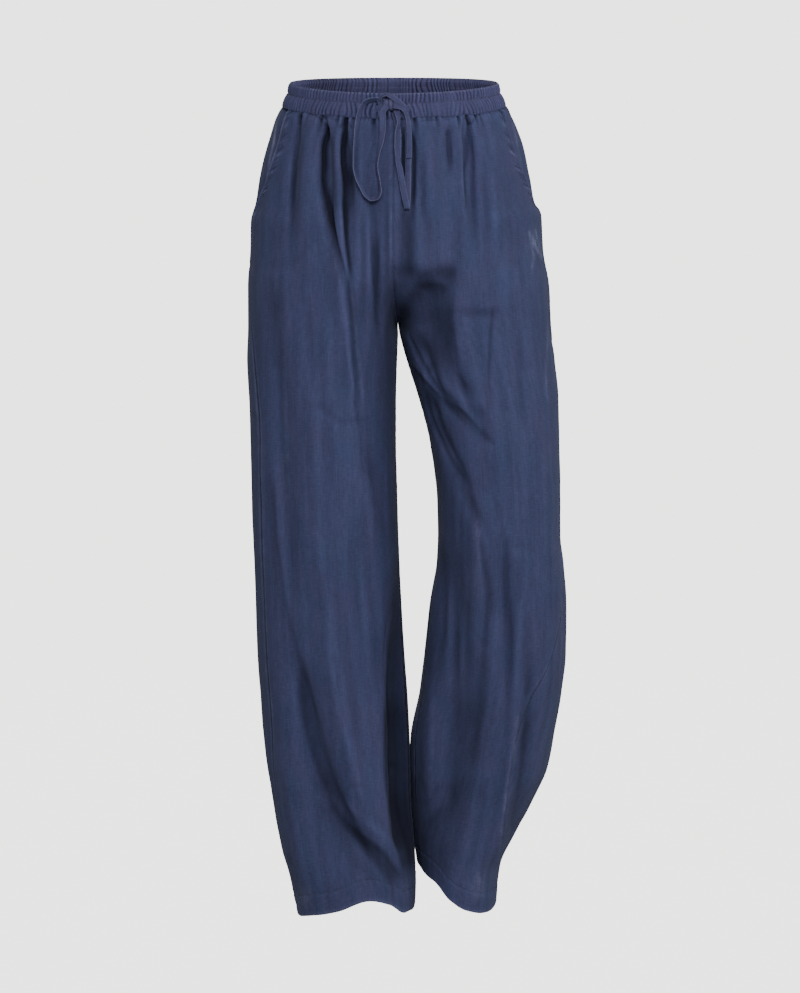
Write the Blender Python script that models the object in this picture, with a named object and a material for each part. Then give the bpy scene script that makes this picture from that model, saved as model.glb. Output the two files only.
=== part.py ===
"""Linen drawstring trousers, worn and standing open with nobody in them.

Every size is in millimetres and is turned into metres where a mesh is made.
+Z is up, the front faces -Y and the wearer's left is +X. The origin is the
middle of the waist opening. "Drop" is the distance down the cloth from the
waist edge. "Turn" is the angle round one leg, in degrees: 0 at the outer
side, 90 at the front, 180 at the inner side and -90 at the back.

Each leg is one tube of changing oval sections. Above the fork the two tubes
run into each other and are cut off at the centre plane, which makes the
centre seams and the curved fork seam between the legs.
"""

import math
from collections import namedtuple

import bpy
import numpy as np

MM = 0.001

# The cloth and how its pieces meet.
CLOTH = 1.5
SEAM_GAP = 0.3

# The hem is turned up inside, so the wall is thicker along it.
HEM_FOLD = 27.0
HEM_CLOTH = 2.4

# The waistband: an elastic channel over a drawstring channel.
BAND_DROP = 30.0
BAND_WALL = 2.6
BAND_GATHERS = 112

# The waist is lower in front than behind, and dips in the middle of both.
WAIST_TILT = 0.14
WAIST_DIP = 3.0
TILT_FADES_FROM, TILT_FADES_TO = 40.0, 300.0

# The fork, where the four leg panels meet.
FORK_DROP = 300.0
FORK_RISE = 100.0
FORK_SHAPE = 1.6

# The pockets, slanting from the waistband down to the side seams.
POCKET_DROP = 160.0
BAG_SINKS = 2.4
BAG_WALL = 1.0
BAG_INSET, BAG_LOW_INSET, BAG_TUCKS_OVER = 1.0, 2.5, 30.0
FACING_SINKS = 4.3
FACING_SUNK_BY = 0.85
FACING_OVERLAP = 7.0
FACING_STOPS_SHORT = 2.0
FACING_SHARES = (0.0, 0.25, 0.5, 0.75, 1.0, 1.5, 2.0)

# The drawstring, a flat tie of folded linen. It steps from the band down to
# the cloth between these heights above and below the band's lower edge.
TIE_WIDTH = 7.6
TIE_THICK = 1.2
STEP_ABOVE, STEP_BELOW = 6.0, 10.0

# Edges sharper than this, in degrees, are not shaded smooth.
SHARP_FROM = 40.0

# How much fuller than an oval a section is between its four sides, and the
# drops over which it comes to that.
FULLNESS = 0.045
FULL_FROM, FULL_TO = 60.0, 200.0

# How far to each side a surface is read to find its normal.
NEAR_TURN, NEAR_DROP = 1.0, 2.0

FORWARD = (0.0, -1.0, 0.0)
LEFT, RIGHT = 1.0, -1.0
SIDES = {"left": LEFT, "right": RIGHT}

BandRow = namedtuple("BandRow", "drop half_width half_depth gather")
BAND = [
    BandRow(0.0, 129.5, 99.5, 0.9),
    BandRow(10.5, 131.5, 100.5, 0.7),
    BandRow(20.0, 135.3, 103.5, 1.5),
    BandRow(BAND_DROP, 138.8, 104.8, 1.0),
]

# The gathers are a little higher in some places than in others.
Swell = namedtuple("Swell", "waves height start")
GATHER_SWELLS = [
    Swell(7, 0.22, 0.6),
    Swell(31, 0.18, 0.0),
]

# One row for each section of a leg. Outer and inner are measured from the
# centre plane towards that side, front and back along Y. Seam and inseam are
# the turns of the two leg seams, the inseam's counted forward from 180.
Section = namedtuple("Section", "drop outer inner front back seam inseam")
SECTIONS = {
    "right": [
        Section(30, 139.4, 0, -105.4, 105.4, -8, 0),
        Section(46, 148.0, 0, -109, 111, -7, 0),
        Section(70, 155.0, 0, -113, 118, -4, 0),
        Section(95, 162.2, 0, -116, 124, 0, 0),
        Section(120, 167.4, 0, -118, 129, 4, 0),
        Section(148, 171.6, 0, -119, 133, 7, 0),
        Section(172, 177.4, 0, -120, 136, 9, 0),
        Section(207, 178.2, 0, -120, 139, 11, 0),
        Section(257, 181.4, 0, -118, 139, 15, 0),
        Section(300, 181.3, -5.0, -114, 133, 20, 0),
        Section(344, 182.7, -3.5, -110, 125, 27, 2),
        Section(394, 181.3, -2.0, -108, 118, 30, 4),
        Section(444, 180.9, -2.2, -107, 113, 31, 5),
        Section(519, 179.2, -4.1, -106, 109, 31, 6),
        Section(594, 176.4, -6.3, -104, 107, 30, 8),
        Section(707, 172.2, -12.7, -100, 107, 29, 10),
        Section(770, 167.1, -17.6, -98, 108, 28, 10),
        Section(827, 163.1, -19.7, -98, 109, 28, 10),
        Section(897, 153.3, -21.6, -97, 110, 27, 10),
        Section(960, 141.2, -26.2, -96, 111, 26, 10),
        Section(998, 130.2, -27.2, -96, 112, 25, 10),
        Section(1050, 119.0, -26.5, -96, 112, 24, 10),
    ],
    "left": [
        Section(30, 139.4, 0, -105.4, 105.4, -8, 0),
        Section(46, 148.6, 0, -109, 111, -7, 0),
        Section(70, 158.2, 0, -113, 118, -5, 0),
        Section(95, 164.6, 0, -116, 124, -3, 0),
        Section(120, 169.6, 0, -118, 129, -1, 0),
        Section(148, 174.4, 0, -120, 133, 1, 0),
        Section(163, 183.0, 0, -120, 135, 2, 0),
        Section(207, 185.7, 0, -120, 139, 3, 0),
        Section(257, 193.9, 0, -118, 139, 4, 0),
        Section(300, 195.6, 5.0, -114, 133, 5, 0),
        Section(344, 200.4, 16.6, -116, 124, 6, 0),
        Section(394, 205.0, 32.4, -121, 113, 6, 1),
        Section(444, 205.1, 45.2, -125, 103, 6, 2),
        Section(519, 207.6, 54.3, -128, 95, 8, 3),
        Section(560, 207.8, 55.2, -128, 93, 10, 4),
        Section(594, 211.6, 53.8, -126, 93, 12, 5),
        Section(644, 215.6, 45.4, -120, 98, 20, 9),
        Section(707, 215.6, 38.4, -109, 111, 33, 14),
        Section(758, 210.7, 32.2, -99, 122, 45, 20),
        Section(821, 198.8, 20.9, -85, 134, 53, 26),
        Section(860, 191.0, 19.9, -77, 141, 53, 28),
        Section(897, 175.4, 21.0, -70, 148, 50, 28),
        Section(948, 150.6, 25.4, -62, 157, 32, 22),
        Section(985, 134.8, 30.2, -59, 163, 18, 16),
        Section(1050, 128.0, 31.5, -57, 166, 10, 12),
    ],
}

# How far the centre seam stands off the centre plane, towards +X.
CentreRow = namedtuple("CentreRow", "drop x")
CENTRE_SEAM = [
    CentreRow(0, 0.0),
    CentreRow(180, -1.0),
    CentreRow(250, 0.0),
    CentreRow(FORK_DROP, 5.0),
]
CENTRE_MOVES_FROM = 0.55

# The front edge of each pocket mouth.
MouthRow = namedtuple("MouthRow", "drop turn")
POCKET_MOUTH = {
    "right": [
        MouthRow(30, 22.0),
        MouthRow(92, 21.5),
        MouthRow(123, 18.5),
        MouthRow(150, 11.0),
        MouthRow(POCKET_DROP, 8.0),
    ],
    "left": [
        MouthRow(30, 17.0),
        MouthRow(60, 20.0),
        MouthRow(100, 16.5),
        MouthRow(140, 7.0),
        MouthRow(POCKET_DROP, 2.0),
    ],
}

# The drop of the hem edge round each leg.
HemRow = namedtuple("HemRow", "turn drop")
HEM = {
    "right": [
        HemRow(-180, 1014),
        HemRow(-150, 1018),
        HemRow(-115, 1034),
        HemRow(-80, 1026),
        HemRow(-40, 1034),
        HemRow(0, 1042),
        HemRow(50, 1030),
        HemRow(75, 1022),
        HemRow(105, 1009),
        HemRow(125, 1016),
        HemRow(144, 1030),
        HemRow(160, 1030),
        HemRow(180, 1014),
    ],
    "left": [
        HemRow(-180, 979),
        HemRow(-145, 984),
        HemRow(-110, 1000),
        HemRow(-70, 1004),
        HemRow(-35, 1024),
        HemRow(0, 1031),
        HemRow(40, 1035),
        HemRow(80, 1027),
        HemRow(104, 1014),
        HemRow(128, 993),
        HemRow(180, 979),
    ],
}
HEM_WAVES_FROM = 820.0
HEM_WAVES_GROW = 1.5

# Soft folds, as lines down the cloth: ridges have a depth above 0, troughs
# below. The line's x is given at its top, middle and bottom.
Fold = namedtuple("Fold", "face x_top x_mid x_low drop_top drop_low width depth")
FRONT, BACK = 1.0, -1.0
FOLDS = [
    # Gathers below the waistband, wearer's right.
    Fold(FRONT, -120, -124, -128, 20, 230, 9, -5),
    Fold(FRONT, -103, -104, -108, 20, 260, 10, 4),
    Fold(FRONT, -84, -79, -72, 15, 215, 8, -9),
    Fold(FRONT, -72, -55, -34, 15, 440, 9, 7),
    Fold(FRONT, -58, -58, -50, 15, 250, 7, -8),
    Fold(FRONT, -40, -40, -36, 20, 170, 8, 4),
    Fold(FRONT, -24, -24, -19, 90, 345, 10, -6),
    # Gathers below the waistband, wearer's left.
    Fold(FRONT, 22, 22, 24, 15, 190, 8, -4),
    Fold(FRONT, 42, 46, 56, 20, 250, 13, 4),
    Fold(FRONT, 65, 66, 68, 25, 120, 7, -4),
    Fold(FRONT, 79, 84, 90, 20, 210, 8, 4),
    Fold(FRONT, 91, 96, 103, 15, 225, 8, -9),
    Fold(FRONT, 118, 124, 132, 25, 260, 12, 4),
    # The hollow beside the fork and the creases that run down from it.
    Fold(FRONT, 20, 38, 56, 215, 380, 23, -14),
    Fold(FRONT, 72, 80, 100, 240, 400, 15, 5),
    Fold(FRONT, 18, 46, 98, 300, 430, 9, -8),
    Fold(FRONT, 38, 60, 102, 375, 510, 9, -8),
    Fold(FRONT, 72, 98, 128, 350, 455, 9, -5),
    # Long folds of the wearer's right leg.
    Fold(FRONT, -140, -131, -114, 300, 790, 14, -6),
    Fold(FRONT, -95, -92, -80, 330, 700, 20, 4),
    Fold(FRONT, -116, -86, 18, 690, 1010, 16, -14),
    Fold(FRONT, -84, -58, 12, 640, 1000, 15, 8),
    Fold(FRONT, -138, -118, -90, 800, 1080, 18, 6),
    # Long folds of the wearer's left leg.
    Fold(FRONT, 104, 106, 104, 470, 800, 15, 5),
    Fold(FRONT, 130, 139, 134, 530, 830, 12, -7),
    Fold(FRONT, 70, 76, 58, 560, 960, 19, -12),
    Fold(FRONT, 165, 170, 128, 600, 1000, 16, 4),
    Fold(FRONT, 46, 44, 40, 720, 960, 12, 6),
    # Gathers below the waistband at the back.
    Fold(BACK, -118, -120, -124, 15, 210, 9, -5),
    Fold(BACK, -92, -92, -98, 15, 260, 10, 5),
    Fold(BACK, -66, -70, -80, 15, 240, 8, -7),
    Fold(BACK, -34, -40, -52, 15, 200, 9, 4),
    Fold(BACK, 30, 34, 40, 15, 190, 8, -5),
    Fold(BACK, 58, 62, 76, 15, 270, 9, 5),
    Fold(BACK, 88, 92, 104, 15, 230, 8, -7),
    Fold(BACK, 116, 122, 132, 15, 200, 10, 4),
    # Creases under the seat and the long folds of the backs of the legs.
    Fold(BACK, -20, -64, -130, 290, 420, 13, -9),
    Fold(BACK, 30, 78, 150, 300, 440, 13, -9),
    Fold(BACK, -96, -92, -84, 380, 960, 17, -8),
    Fold(BACK, -54, -52, -44, 430, 1060, 15, 7),
    Fold(BACK, 112, 104, 66, 420, 900, 18, -9),
    Fold(BACK, 150, 156, 120, 470, 960, 16, 7),
]
# Folds start below the waistband and fade out towards the side seams, where
# the sine of the turn is small. Each is deepest in its middle.
FOLD_DROP_FROM, FOLD_DROP_TO = 28.0, 75.0
FOLD_FACE_FROM, FOLD_FACE_TO = 0.10, 0.55
FOLD_GROWN, FOLD_FADING = 0.25, 0.45

# The rows of the panels, down from the waist seam. One lies on the fork.
ROW_DROPS = [
    30.8, 44, 60, 80, 102, 130, 160, 188, 215, 240, 264, 284, 300, 320, 345,
    375, 412, 455, 505, 560, 620, 680, 740, 800, 855, 905, 950, 1013, 1040,
]
FRONT_COLUMNS = 24
BACK_COLUMNS = 22
POCKET_COLUMNS = 6
POCKET_BAG_ROW = 8

# The bow, as points of the middle line of each length of the tie. Lift is how
# far it stands off the cloth behind it, and face how far its flat is turned
# from facing forward, in degrees.
TiePoint = namedtuple("TiePoint", "x z lift face")
BOW = {
    "drawstring_loop_right": [
        TiePoint(-10.8, -28.3, 4.0, 10),
        TiePoint(-15.5, -26, 4.0, 12),
        TiePoint(-22, -24.5, 4.0, 15),
        TiePoint(-30, -25.5, 4.6, 10),
        TiePoint(-37, -30.5, 5.0, 0),
        TiePoint(-42, -42, 5.4, 20),
        TiePoint(-46.5, -69, 5.8, 62),
        TiePoint(-48.5, -104, 6.0, 74),
        TiePoint(-45.5, -119, 6.0, 70),
        TiePoint(-40, -131, 6.4, 66),
        TiePoint(-33, -142, 7.4, 58),
        TiePoint(-26.5, -145.5, 8.4, 56),
        TiePoint(-20, -144, 8.4, 60),
        TiePoint(-16.5, -136, 7.0, 66),
        TiePoint(-17.5, -125, 6.0, 70),
        TiePoint(-20.5, -106, 5.8, 72),
        TiePoint(-18.5, -90, 6.2, 60),
        TiePoint(-14.5, -72, 7.2, 32),
        TiePoint(-13.3, -58, 8.6, 8),
        TiePoint(-13.6, -42, 10.4, 0),
        TiePoint(-8.5, -32.6, 11.8, 0),
    ],
    "drawstring_loop_left": [
        TiePoint(3.6, -38.4, 9.0, 15),
        TiePoint(5.8, -52, 9.2, 56),
        TiePoint(2.8, -66, 9.2, 72),
        TiePoint(2.4, -79, 9.2, 70),
        TiePoint(4.2, -94, 8.6, 46),
        TiePoint(7.4, -110, 7.8, 14),
        TiePoint(10.6, -128, 7.0, 0),
        TiePoint(14, -146, 6.4, 0),
        TiePoint(16, -155, 6.2, 0),
        TiePoint(16, -156.5, 5.6, 0),
        TiePoint(16, -157.1, 4.4, 0),
        TiePoint(16, -156.5, 3.2, 0),
        TiePoint(16, -155, 2.6, 0),
        TiePoint(17, -144, 2.3, 0),
        TiePoint(17.4, -120, 2.2, 0),
        TiePoint(17.8, -94, 2.2, 0),
        TiePoint(17.8, -66, 2.4, 0),
        TiePoint(16.4, -50, 3.6, 0),
        TiePoint(7.6, -38.6, 5.2, 10),
    ],
    "drawstring_tail_left": [
        TiePoint(-0.5, -32.2, 12.5, 0),
        TiePoint(12.5, -38.5, 11.2, 0),
        TiePoint(18.4, -53, 6.6, 0),
        TiePoint(19.2, -74, 4.6, 0),
        TiePoint(18.8, -96, 4.4, 0),
    ],
    "drawstring_tail_right": [
        TiePoint(0.5, -40.2, 3.2, 8),
        TiePoint(4.2, -56, 2.4, 0),
        TiePoint(6, -72, 2.2, 0),
        TiePoint(6.6, -97, 2.2, 0),
    ],
    "drawstring_lead_right": [
        TiePoint(-27, -36, 3.0, 0),
        TiePoint(-21, -36, 3.2, 0),
        TiePoint(-12.2, -34.3, 4.2, 0),
    ],
    "drawstring_lead_left": [
        TiePoint(24, -35, 3.0, 0),
        TiePoint(17.5, -35, 3.2, 0),
        TiePoint(8.9, -33.9, 4.2, 0),
    ],
}
TIE_SAMPLES = 3
LEVEL_ENOUGH = 0.5
KNOT_MIDDLE_X, KNOT_MIDDLE_Z = -2.0, -31.5
KNOT_HALF_SIZE = (11.5, 5.0, 7.0)
KNOT_SLANT = -20.0
KNOT_LIFT = 7.0
KNOT_BLUNTNESS = 0.7
KNOT_RINGS, KNOT_SIDES = 6, 14

LINEN = (0.043, 0.058, 0.118, 1.0)
LINEN_INSIDE = (0.036, 0.049, 0.104, 1.0)


# ---- curves through the tables --------------------------------------------


def column(rows, name):
    """One named column of a table as an array."""
    return np.array([getattr(row, name) for row in rows], float)


def smooth_curve(knots, values, at):
    """A cubic curve through the table's points that never overshoots them."""
    gaps = np.diff(knots)
    slopes = np.diff(values) / gaps
    tangents = np.zeros_like(values)
    before, after = slopes[:-1], slopes[1:]
    same_way = before * after > 0
    mean = 2 * before * after / np.where(same_way, before + after, 1.0)
    tangents[1:-1] = np.where(same_way, mean, 0.0)
    tangents[0], tangents[-1] = slopes[0], slopes[-1]
    at = np.clip(at, knots[0], knots[-1])
    i = np.clip(np.searchsorted(knots, at, side="right") - 1, 0, len(gaps) - 1)
    gap = gaps[i]
    t = (at - knots[i]) / gap
    return (
        values[i] * (1 + 2 * t) * (1 - t) ** 2
        + values[i + 1] * t**2 * (3 - 2 * t)
        + gap * t * (1 - t) * (tangents[i] * (1 - t) - tangents[i + 1] * t)
    )


def ease(low, high, value):
    """0 below low, 1 above high, and a smooth step between them."""
    t = np.clip((value - low) / (high - low), 0.0, 1.0)
    return t * t * (3 - 2 * t)


def along_table(rows, name, drop):
    """A column of a table of drops, read at any drop."""
    return smooth_curve(column(rows, "drop"), column(rows, name), drop)


# ---- the surface of the cloth ---------------------------------------------


def centre_x(drop):
    """Where the centre seam lies across the body."""
    return along_table(CENTRE_SEAM, "x", drop)


def merging(drop):
    """0 where the two legs are one round hip, 1 from the fork down."""
    above = np.clip((FORK_DROP - drop) / FORK_RISE, 0.0, 1.0)
    return 1 - above**FORK_SHAPE


def oval(side, drop):
    """The middle and the half sizes of a section, across and along Y."""
    rows = SECTIONS[side]
    outer = along_table(rows, "outer", drop)
    inner = along_table(rows, "inner", drop)
    centre = SIDES[side] * centre_x(drop)
    share = merging(drop)
    half_above = (outer - centre) / (1 + share)
    half = np.where(drop < FORK_DROP, half_above, (outer - inner) / 2)
    middle = np.where(drop < FORK_DROP, centre + share * half_above, (outer + inner) / 2)
    front = along_table(rows, "front", drop)
    back = along_table(rows, "back", drop)
    return middle, half, (front + back) / 2, (back - front) / 2


def fold_height(face, x, drop):
    """How far the folds lift or sink the cloth, along its own normal."""
    total = np.zeros_like(x)
    for fold in FOLDS:
        t = (drop - fold.drop_top) / (fold.drop_low - fold.drop_top)
        bend = fold.x_mid - (fold.x_top + fold.x_low) / 2
        line = fold.x_top + (fold.x_low - fold.x_top) * t + 4 * bend * t * (1 - t)
        fade = ease(0.0, FOLD_GROWN, t) * ease(1.0, FOLD_FADING, t)
        across = np.exp(-(((x - line) / fold.width) ** 2))
        total += np.where(face * fold.face > 0, fold.depth * fade * across, 0.0)
    return total


def cloth_point(side, turn, drop):
    """Points of the outer surface of one leg's tube, in millimetres."""
    way = SIDES[side]
    middle, half, middle_y, depth = oval(side, drop)
    angle = np.radians(turn)
    c, s = np.cos(angle), np.sin(angle)
    full = 1 + FULLNESS * np.sin(2 * angle) ** 2 * ease(FULL_FROM, FULL_TO, drop)
    x = way * (middle + half * full * c)
    y = middle_y - depth * full * s
    normal_x, normal_y = way * c / half, -s / depth
    length = np.hypot(normal_x, normal_y)
    on_face = ease(FOLD_FACE_FROM, FOLD_FACE_TO, np.abs(s))
    on_face = on_face * ease(FOLD_DROP_FROM, FOLD_DROP_TO, drop)
    lift = fold_height(np.sign(s), x, drop) * on_face
    x = x + lift * normal_x / length
    y = y + lift * normal_y / length
    tilt = 1 - ease(TILT_FADES_FROM, TILT_FADES_TO, drop)
    z = -drop + tilt * (WAIST_TILT * y - WAIST_DIP * s * s)
    return np.stack(np.broadcast_arrays(x, y, z), -1)


def inner_turn(side, drop, face):
    """The turn of a panel's inner edge: centre seam, fork seam or inseam."""
    fork = np.degrees(np.arccos(-merging(drop)))
    inseam = 180 - along_table(SECTIONS[side], "inseam", drop)
    turn = np.where(drop < FORK_DROP, fork, inseam)
    return turn if face == FRONT else np.where(drop < FORK_DROP, -fork, inseam - 360)


def outer_turn(side, drop, face):
    """The turn of a panel's outer edge: side seam, or pocket mouth in front."""
    seam = along_table(SECTIONS[side], "seam", drop)
    if face == BACK:
        return seam
    mouth = along_table(POCKET_MOUTH[side], "turn", drop)
    return np.where(drop < POCKET_DROP, mouth, seam)


def hem_drop(side, turn):
    """The drop of the hem edge at a turn."""
    rows = HEM[side]
    wrapped = (turn + 180) % 360 - 180
    return smooth_curve(column(rows, "turn"), column(rows, "drop"), wrapped)


def lowered(side, turn, drop):
    """A row's drop, bent so that the lowest row follows the hem."""
    lowest = ROW_DROPS[-1]
    share = np.clip((drop - HEM_WAVES_FROM) / (lowest - HEM_WAVES_FROM), 0, 1)
    return drop + share**HEM_WAVES_GROW * (hem_drop(side, turn) - lowest)


def panel_turns(side, face, columns):
    """The turn of every grid point of a panel, one row for each drop."""
    drops = np.array(ROW_DROPS, float)
    outer = outer_turn(side, drops, face)[:, None]
    inner = inner_turn(side, drops, face)[:, None]
    return outer + (inner - outer) * np.linspace(0, 1, columns + 1)[None, :]


def cloth_normal(side, turn, drop):
    """The outward unit normal of the surface, from points close by."""
    before = cloth_point(side, turn - NEAR_TURN, drop)
    after = cloth_point(side, turn + NEAR_TURN, drop)
    above = cloth_point(side, turn, drop - NEAR_DROP)
    below = cloth_point(side, turn, drop + NEAR_DROP)
    normal = np.cross(after - before, below - above) * SIDES[side]
    return normal / np.linalg.norm(normal, axis=-1, keepdims=True)


def panel_surface(side, face, columns):
    """A leg panel's outer points and normals, as grids from seam to seam."""
    turns = panel_turns(side, face, columns)
    drops = lowered(side, turns, np.array(ROW_DROPS, float)[:, None] + 0 * turns)
    normals = cloth_normal(side, turns, drops)
    grid = meet_at_centre(cloth_point(side, turns, drops), side, face, columns)
    leaning = normals[:, -1, 0] * SIDES[side] > 0
    leaning &= np.array(ROW_DROPS) <= FORK_DROP
    normals[leaning, -1, 0] = 0.0
    return trimmed(grid), normals


def meet_at_centre(grid, side, face, columns):
    """Brings the centre edges of the two sides to one seam line.

    The columns past CENTRE_MOVES_FROM of the way across share the move.
    """
    drops = np.array(ROW_DROPS, float)
    joined = drops <= FORK_DROP
    edges = []
    for name in SIDES:
        turn = inner_turn(name, drops, face)
        edges.append(cloth_point(name, np.where(joined, turn, 180.0), drops))
    seam = (edges[0] + edges[1]) / 2
    seam[:, 0] = centre_x(drops) + SIDES[side] * SEAM_GAP / 2
    move = np.where(joined[:, None], seam - grid[:, -1], 0.0)
    weight = ease(CENTRE_MOVES_FROM, 1.0, np.linspace(0, 1, columns + 1))
    return grid + move[:, None, :] * weight[None, :, None]


def trimmed(grid):
    """The grid with its side edges drawn in by half the seam gap."""
    grid = grid.copy()
    for edge, inward in ((0, 1), (-1, -2)):
        step = grid[:, inward] - grid[:, edge]
        length = np.linalg.norm(step, axis=1, keepdims=True)
        grid[:, edge] += step * (SEAM_GAP / 2 / length)
    return grid


# ---- solids ----------------------------------------------------------------


def material(name, colour, roughness):
    """A plain finish."""
    made = bpy.data.materials.new(name)
    made.use_nodes = True
    shader = made.node_tree.nodes["Principled BSDF"]
    shader.inputs["Base Color"].default_value = colour
    shader.inputs["Roughness"].default_value = roughness
    shader.inputs["Metallic"].default_value = 0.0
    return made


def add_object(name, points, faces, finish):
    """Makes one named solid from points in millimetres."""
    mesh = bpy.data.meshes.new(name)
    mesh.from_pydata((np.asarray(points) * MM).tolist(), [], faces)
    mesh.materials.append(finish)
    mesh.validate()
    mesh.shade_smooth()
    mesh.set_sharp_from_angle(angle=math.radians(SHARP_FROM))
    made = bpy.data.objects.new(name, mesh)
    bpy.context.scene.collection.objects.link(made)
    return made


def sheet_faces(grid, start, flipped):
    """Two triangles for each cell of a grid, along its shorter diagonal."""
    rows, columns = grid.shape[:2]
    falling = np.linalg.norm(grid[1:, 1:] - grid[:-1, :-1], axis=2)
    rising = np.linalg.norm(grid[1:, :-1] - grid[:-1, 1:], axis=2)
    faces = []
    for i in range(rows - 1):
        for j in range(columns - 1):
            a = start + i * columns + j
            b, c, d = a + 1, a + columns + 1, a + columns
            pair = ((a, b, c), (a, c, d))
            if rising[i, j] < falling[i, j]:
                pair = ((a, b, d), (b, c, d))
            faces += [face[::-1] if flipped else face for face in pair]
    return faces


def rim_faces(loop, other, flipped):
    """A strip of triangles between two equal loops of point numbers."""
    faces = []
    for k in range(len(loop)):
        a, b = loop[k], loop[(k + 1) % len(loop)]
        c, d = other[(k + 1) % len(loop)], other[k]
        for face in ((a, b, c), (a, c, d)):
            faces.append(face[::-1] if flipped else face)
    return faces


def grid_loop(rows, columns, start):
    """The point numbers round the edge of a grid, in order."""
    top = [start + j for j in range(columns)]
    right = [start + i * columns + columns - 1 for i in range(1, rows)]
    bottom = [start + (rows - 1) * columns + j for j in range(columns - 2, -1, -1)]
    left = [start + i * columns for i in range(rows - 2, 0, -1)]
    return top + right + bottom + left


def cloth_wall(name, outer, inner, finish):
    """A closed wall between an outer and an inner grid of the same shape."""
    rows, columns = outer.shape[:2]
    count = rows * columns
    points = np.concatenate([outer.reshape(-1, 3), inner.reshape(-1, 3)])
    normal = np.cross(np.gradient(outer, axis=1), np.gradient(outer, axis=0))
    turned = bool(np.sum(normal * (outer - inner)) < 0)
    faces = sheet_faces(outer, 0, turned)
    faces += sheet_faces(outer, count, not turned)
    faces += rim_faces(
        grid_loop(rows, columns, 0), grid_loop(rows, columns, count), not turned
    )
    return add_object(name, points, faces, finish)


def build_panel(side, face, finish):
    """One of the four leg panels, from the waist seam to the hem."""
    columns = FRONT_COLUMNS if face == FRONT else BACK_COLUMNS
    outer, normals = panel_surface(side, face, columns)
    turned_up = np.array(ROW_DROPS) >= ROW_DROPS[-1] - HEM_FOLD
    wall = np.where(turned_up, HEM_CLOTH, CLOTH)[:, None, None]
    name = ("front_" if face == FRONT else "back_") + side
    return cloth_wall(name, outer, outer - normals * wall, finish)


def build_pocket_bag(side, finish):
    """The closed bag behind the front, made from the front's own points."""
    rows, columns = POCKET_BAG_ROW + 1, POCKET_COLUMNS + 1
    front, normals = panel_surface(side, FRONT, FRONT_COLUMNS)
    front, normals = front[:rows, :columns], normals[:rows, :columns]
    shares = np.linspace(1, 0, columns)[None, :, None]
    inward = front[:, 1:2] - front[:, 0:1]
    inward = inward / np.linalg.norm(inward, axis=2, keepdims=True)
    drops = np.array(ROW_DROPS[:rows], float)[:, None, None]
    low = ease(POCKET_DROP - BAG_TUCKS_OVER, POCKET_DROP, drops)
    tuck = BAG_INSET + (BAG_LOW_INSET - BAG_INSET) * low
    outer = front - normals * BAG_SINKS + inward * tuck * shares
    name = "pocket_bag_" + side
    return cloth_wall(name, outer, outer - normals * BAG_WALL, finish)


def build_pocket_facing(side, finish):
    """The piece that shows in the pocket mouth, from the side seam inwards.

    It lies level with the back at the seam and dips under the front and its
    bag before it reaches the mouth's edge.
    """
    end = POCKET_DROP - FACING_STOPS_SHORT
    drops = np.array([drop for drop in ROW_DROPS if drop < end] + [end])
    seam = along_table(SECTIONS[side], "seam", drops)[:, None]
    mouth = outer_turn(side, drops, FRONT)[:, None]
    shares = np.array(FACING_SHARES)[None, :]
    turns = seam + (mouth - seam) * np.minimum(shares, 1.0)
    turns = turns + FACING_OVERLAP * np.clip(shares - 1.0, 0.0, None)
    levels = drops[:, None] + 0 * turns
    normals = cloth_normal(side, turns, levels)
    dips = FACING_SINKS * ease(0.0, FACING_SUNK_BY, shares) + 0 * turns
    dips[-1] = FACING_SINKS
    outer = trimmed(cloth_point(side, turns, levels) - normals * dips[:, :, None])
    name = "pocket_facing_" + side
    return cloth_wall(name, outer, outer - normals * BAG_WALL, finish)


def band_ring(inside):
    """The waistband's rows of points, round the whole waist.

    Each gather is one ridge and one valley, a little uneven in height.
    """
    count = 2 * BAND_GATHERS
    angles = 2 * np.pi * np.arange(count) / count
    ridge = np.where(np.arange(count) % 2 == 0, 1.0, -1.0)
    uneven = 1.0
    for swell in GATHER_SWELLS:
        uneven = uneven + swell.height * np.sin(swell.waves * angles + swell.start)
    rows = []
    for row in BAND:
        lift = row.gather * ridge * uneven - (BAND_WALL if inside else 0.0)
        x = (row.half_width + lift) * np.cos(angles)
        y = -(row.half_depth + lift) * np.sin(angles)
        z = WAIST_TILT * y - WAIST_DIP * np.sin(angles) ** 2 - row.drop
        rows.append(np.stack([x, y, z], -1))
    return np.array(rows)


def build_waistband(finish):
    """The band's front and back lengths, which meet at the side seams."""
    outer, inner = band_ring(False), band_ring(True)
    half = BAND_GATHERS
    ring = {"waistband_front": (0, half), "waistband_back": (half, 2 * half)}
    for name, (first, last) in ring.items():
        pick = np.arange(first, last + 1) % (2 * half)
        out, inn = outer[:, pick].copy(), inner[:, pick].copy()
        for grid in (out, inn):
            sign = -1.0 if name == "waistband_front" else 1.0
            grid[:, 0, 1] += sign * SEAM_GAP / 2
            grid[:, -1, 1] += sign * SEAM_GAP / 2
        cloth_wall(name, out, inn, finish)


def front_y(x, z):
    """Where the front of the cloth, or of the band over it, lies along Y."""
    low = WAIST_TILT * BAND[-1].half_depth + WAIST_DIP + BAND_DROP
    high = low - BAND_DROP
    drop = np.clip(-z - high, 0.0, BAND_DROP)
    across = np.clip(x / along_table(BAND, "half_width", drop), -1.0, 1.0)
    band = -along_table(BAND, "half_depth", drop) * np.sqrt(1 - across**2)
    side = np.where(x < centre_x(-z), "right", "left")
    cloth = np.zeros_like(x)
    for name, way in SIDES.items():
        middle, half, _, _ = oval(name, -z)
        turn = np.degrees(np.arccos(np.clip((way * x - middle) / half, -1, 1)))
        cloth = np.where(side == name, cloth_point(name, turn, -z)[:, 1], cloth)
    step = ease(low - STEP_ABOVE, low + STEP_BELOW, -z)
    return band + (np.minimum(cloth, band) - band) * step


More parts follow.
